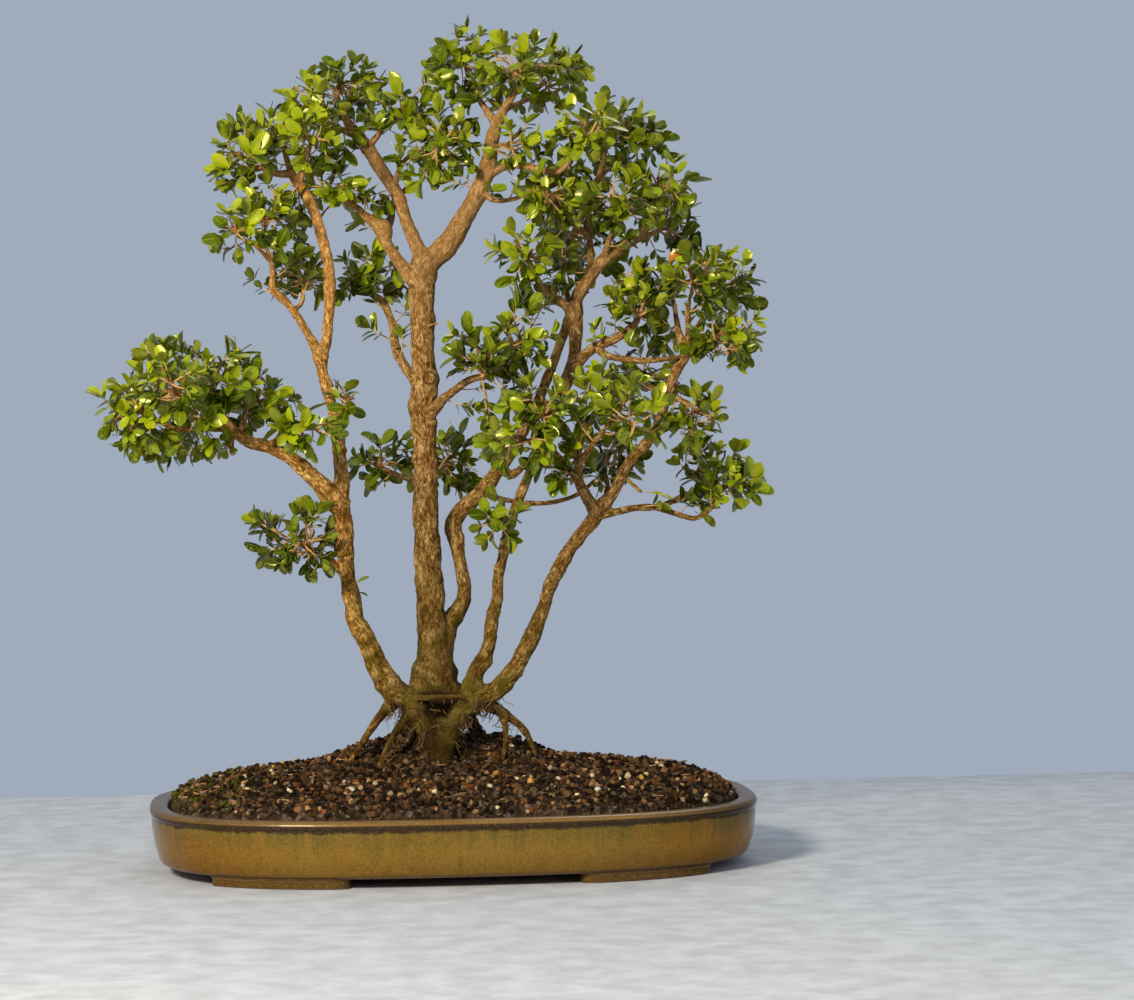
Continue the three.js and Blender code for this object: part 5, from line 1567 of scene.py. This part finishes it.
def make_grit_layer():
    """Grains by a seeded rule, the stones that stand out, and fallen bits of twig."""
    draw = np.random.RandomState(11)
    places = scattered(draw, GRIT_COUNT, LIP_WIDTH + 2.6)
    forms, faces = pebble_forms(PEBBLE_FORMS)
    turns = random_turns(draw, len(places))
    weights = np.array([weight for weight, _ in GRIT_TINTS])
    kinds = draw.choice(len(GRIT_TINTS), len(places), p=weights / weights.sum())
    heap = Heap()
    for number, (x, y) in enumerate(places):
        size = draw.uniform(1.7, 3.3) * (1.3 if draw.rand() < 0.10 else 1)
        height = float(soil_height(x, y))
        tint = np.array(GRIT_TINTS[kinds[number]][1]) * draw.uniform(0.6, 1.4)
        mossy = max(0.0, min(1.0, (-x - 165) / 70)) * (0.5 + 0.5 * noise.noise(Vector((x / 14, y / 14, 2))))
        if draw.rand() < mossy * 0.8:
            tint = np.array(MOSS_TINT) * draw.uniform(0.7, 1.6)
        # painted shade: grains about the foot of the tree are darker
        tint = tint * (1 - 0.42 * math.exp(-((x + 5) / 75) ** 2 - ((y - 5) / 95) ** 2))
        sunk = 0.45 * size - draw.uniform(-0.8, 0.8)
        points = forms[draw.randint(PEBBLE_FORMS)] @ turns[number].T * size + [x, y, height - sunk]
        heap.add(points, faces, tint=tint)
    for x, y, size, tint in STRAY_STONES:
        at = [x, y, float(soil_height(x, y)) + 0.3 * size]
        stone = forms[draw.randint(PEBBLE_FORMS)]
        heap.add(stone @ random_turns(draw, 1)[0].T * size + at, faces, tint=tint)
    for _ in range(CHIPS):
        x, y = places[draw.randint(len(places))]
        at = np.array([x, y, float(soil_height(x, y)) + 1.6])
        turn, length = draw.uniform(0, math.pi), draw.uniform(4, 11)
        way = np.array([math.cos(turn), math.sin(turn), draw.uniform(-0.2, 0.2)]) * length / 2
        curve = np.array([[*(at + way * part), draw.uniform(0.7, 1.7)] for part in (-1, 0, 1)])
        points, chip_faces, _ = tube(curve, 4, False)
        heap.add(points, chip_faces, tint=np.array(CHIP_TINT) * draw.uniform(0.35, 1.3))
    settle(heap.piece("grit", [grit], GRIT_EDGE), "soil", "soil")


# Setting

FLOOR_SIDES, FLOOR_ENDS = (-4500.0, 4500.0), (-5200.0, 620.0)
FLOOR_STEPS = 12
BACKDROP = (0.352, 0.410, 0.500, 1)
# Colour, roughness, metal and grain of what the tray stands on
CLOTH = ((0.53, 0.545, 0.56), 0.85, 0.0, 30)
LIGHT_AIM = Vector((0, 0, 0.35))
# Name, place, size, power and colour
LAMPS = [
    ("key", (-1.25, -2.15, 1.32), 0.45, 90, (1.0, 0.91, 0.76)),
    ("fill", (1.9, -1.6, 1.0), 1.8, 4, (0.94, 0.96, 1.0)),
    ("back", (0.6, 1.8, 1.9), 1.2, 8, (1.0, 0.97, 0.93)),
]


def make_floor():
    heap = Heap()
    steps = FLOOR_STEPS
    xs, ys = np.linspace(*FLOOR_SIDES, steps), np.linspace(*FLOOR_ENDS, steps)
    points = np.array([[x, y, 0] for y in ys for x in xs])
    faces = [[j * steps + i, j * steps + i + 1, (j + 1) * steps + i + 1, (j + 1) * steps + i]
             for j in range(steps - 1) for i in range(steps - 1)]
    heap.add(points, faces)
    floor = heap.piece("floor", [make_plain("cloth", *CLOTH)])


def add_light(name, at, size, power, colour):
    """A round lamp turned towards the tree."""
    data = bpy.data.lights.new(name, "AREA")
    data.shape = "DISK"
    data.size = size
    data.energy = power
    data.color = colour
    light = bpy.data.objects.new(name, data)
    light.location = at
    light.rotation_euler = (LIGHT_AIM - Vector(at)).to_track_quat("-Z", "Y").to_euler()
    bpy.context.scene.collection.objects.link(light)


def make_setting():
    make_floor()
    world = bpy.data.worlds.new("studio")
    world.use_nodes = True
    world.node_tree.nodes["Background"].inputs["Color"].default_value = BACKDROP
    world.node_tree.nodes["Background"].inputs["Strength"].default_value = 1.0
    bpy.context.scene.world = world
    bpy.context.scene.view_settings.view_transform = "Standard"
    for lamp in LAMPS:
        add_light(*lamp)


# Putting it together

make_pot()
make_soil()
make_grit_layer()
skin, skin_normals = make_stems()
make_twigs()
make_root_hairs(skin, skin_normals)
make_side_shoots([make_spray(name, 100 + number) for number, name in enumerate(SPRAYS)])

screen_plastic = make_plain("screen_plastic", (0.02, 0.02, 0.024), 0.5)
wire_metal = make_plain("wire_metal", (0.60, 0.60, 0.61), 0.35, 1.0)
for side in ("left", "right"):
    for kind, finish in (("screen", screen_plastic), ("wire", wire_metal)):
        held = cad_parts[f"drain_{kind}_{side}"]
        held.data.materials.clear()
        held.data.materials.append(finish)

make_setting()
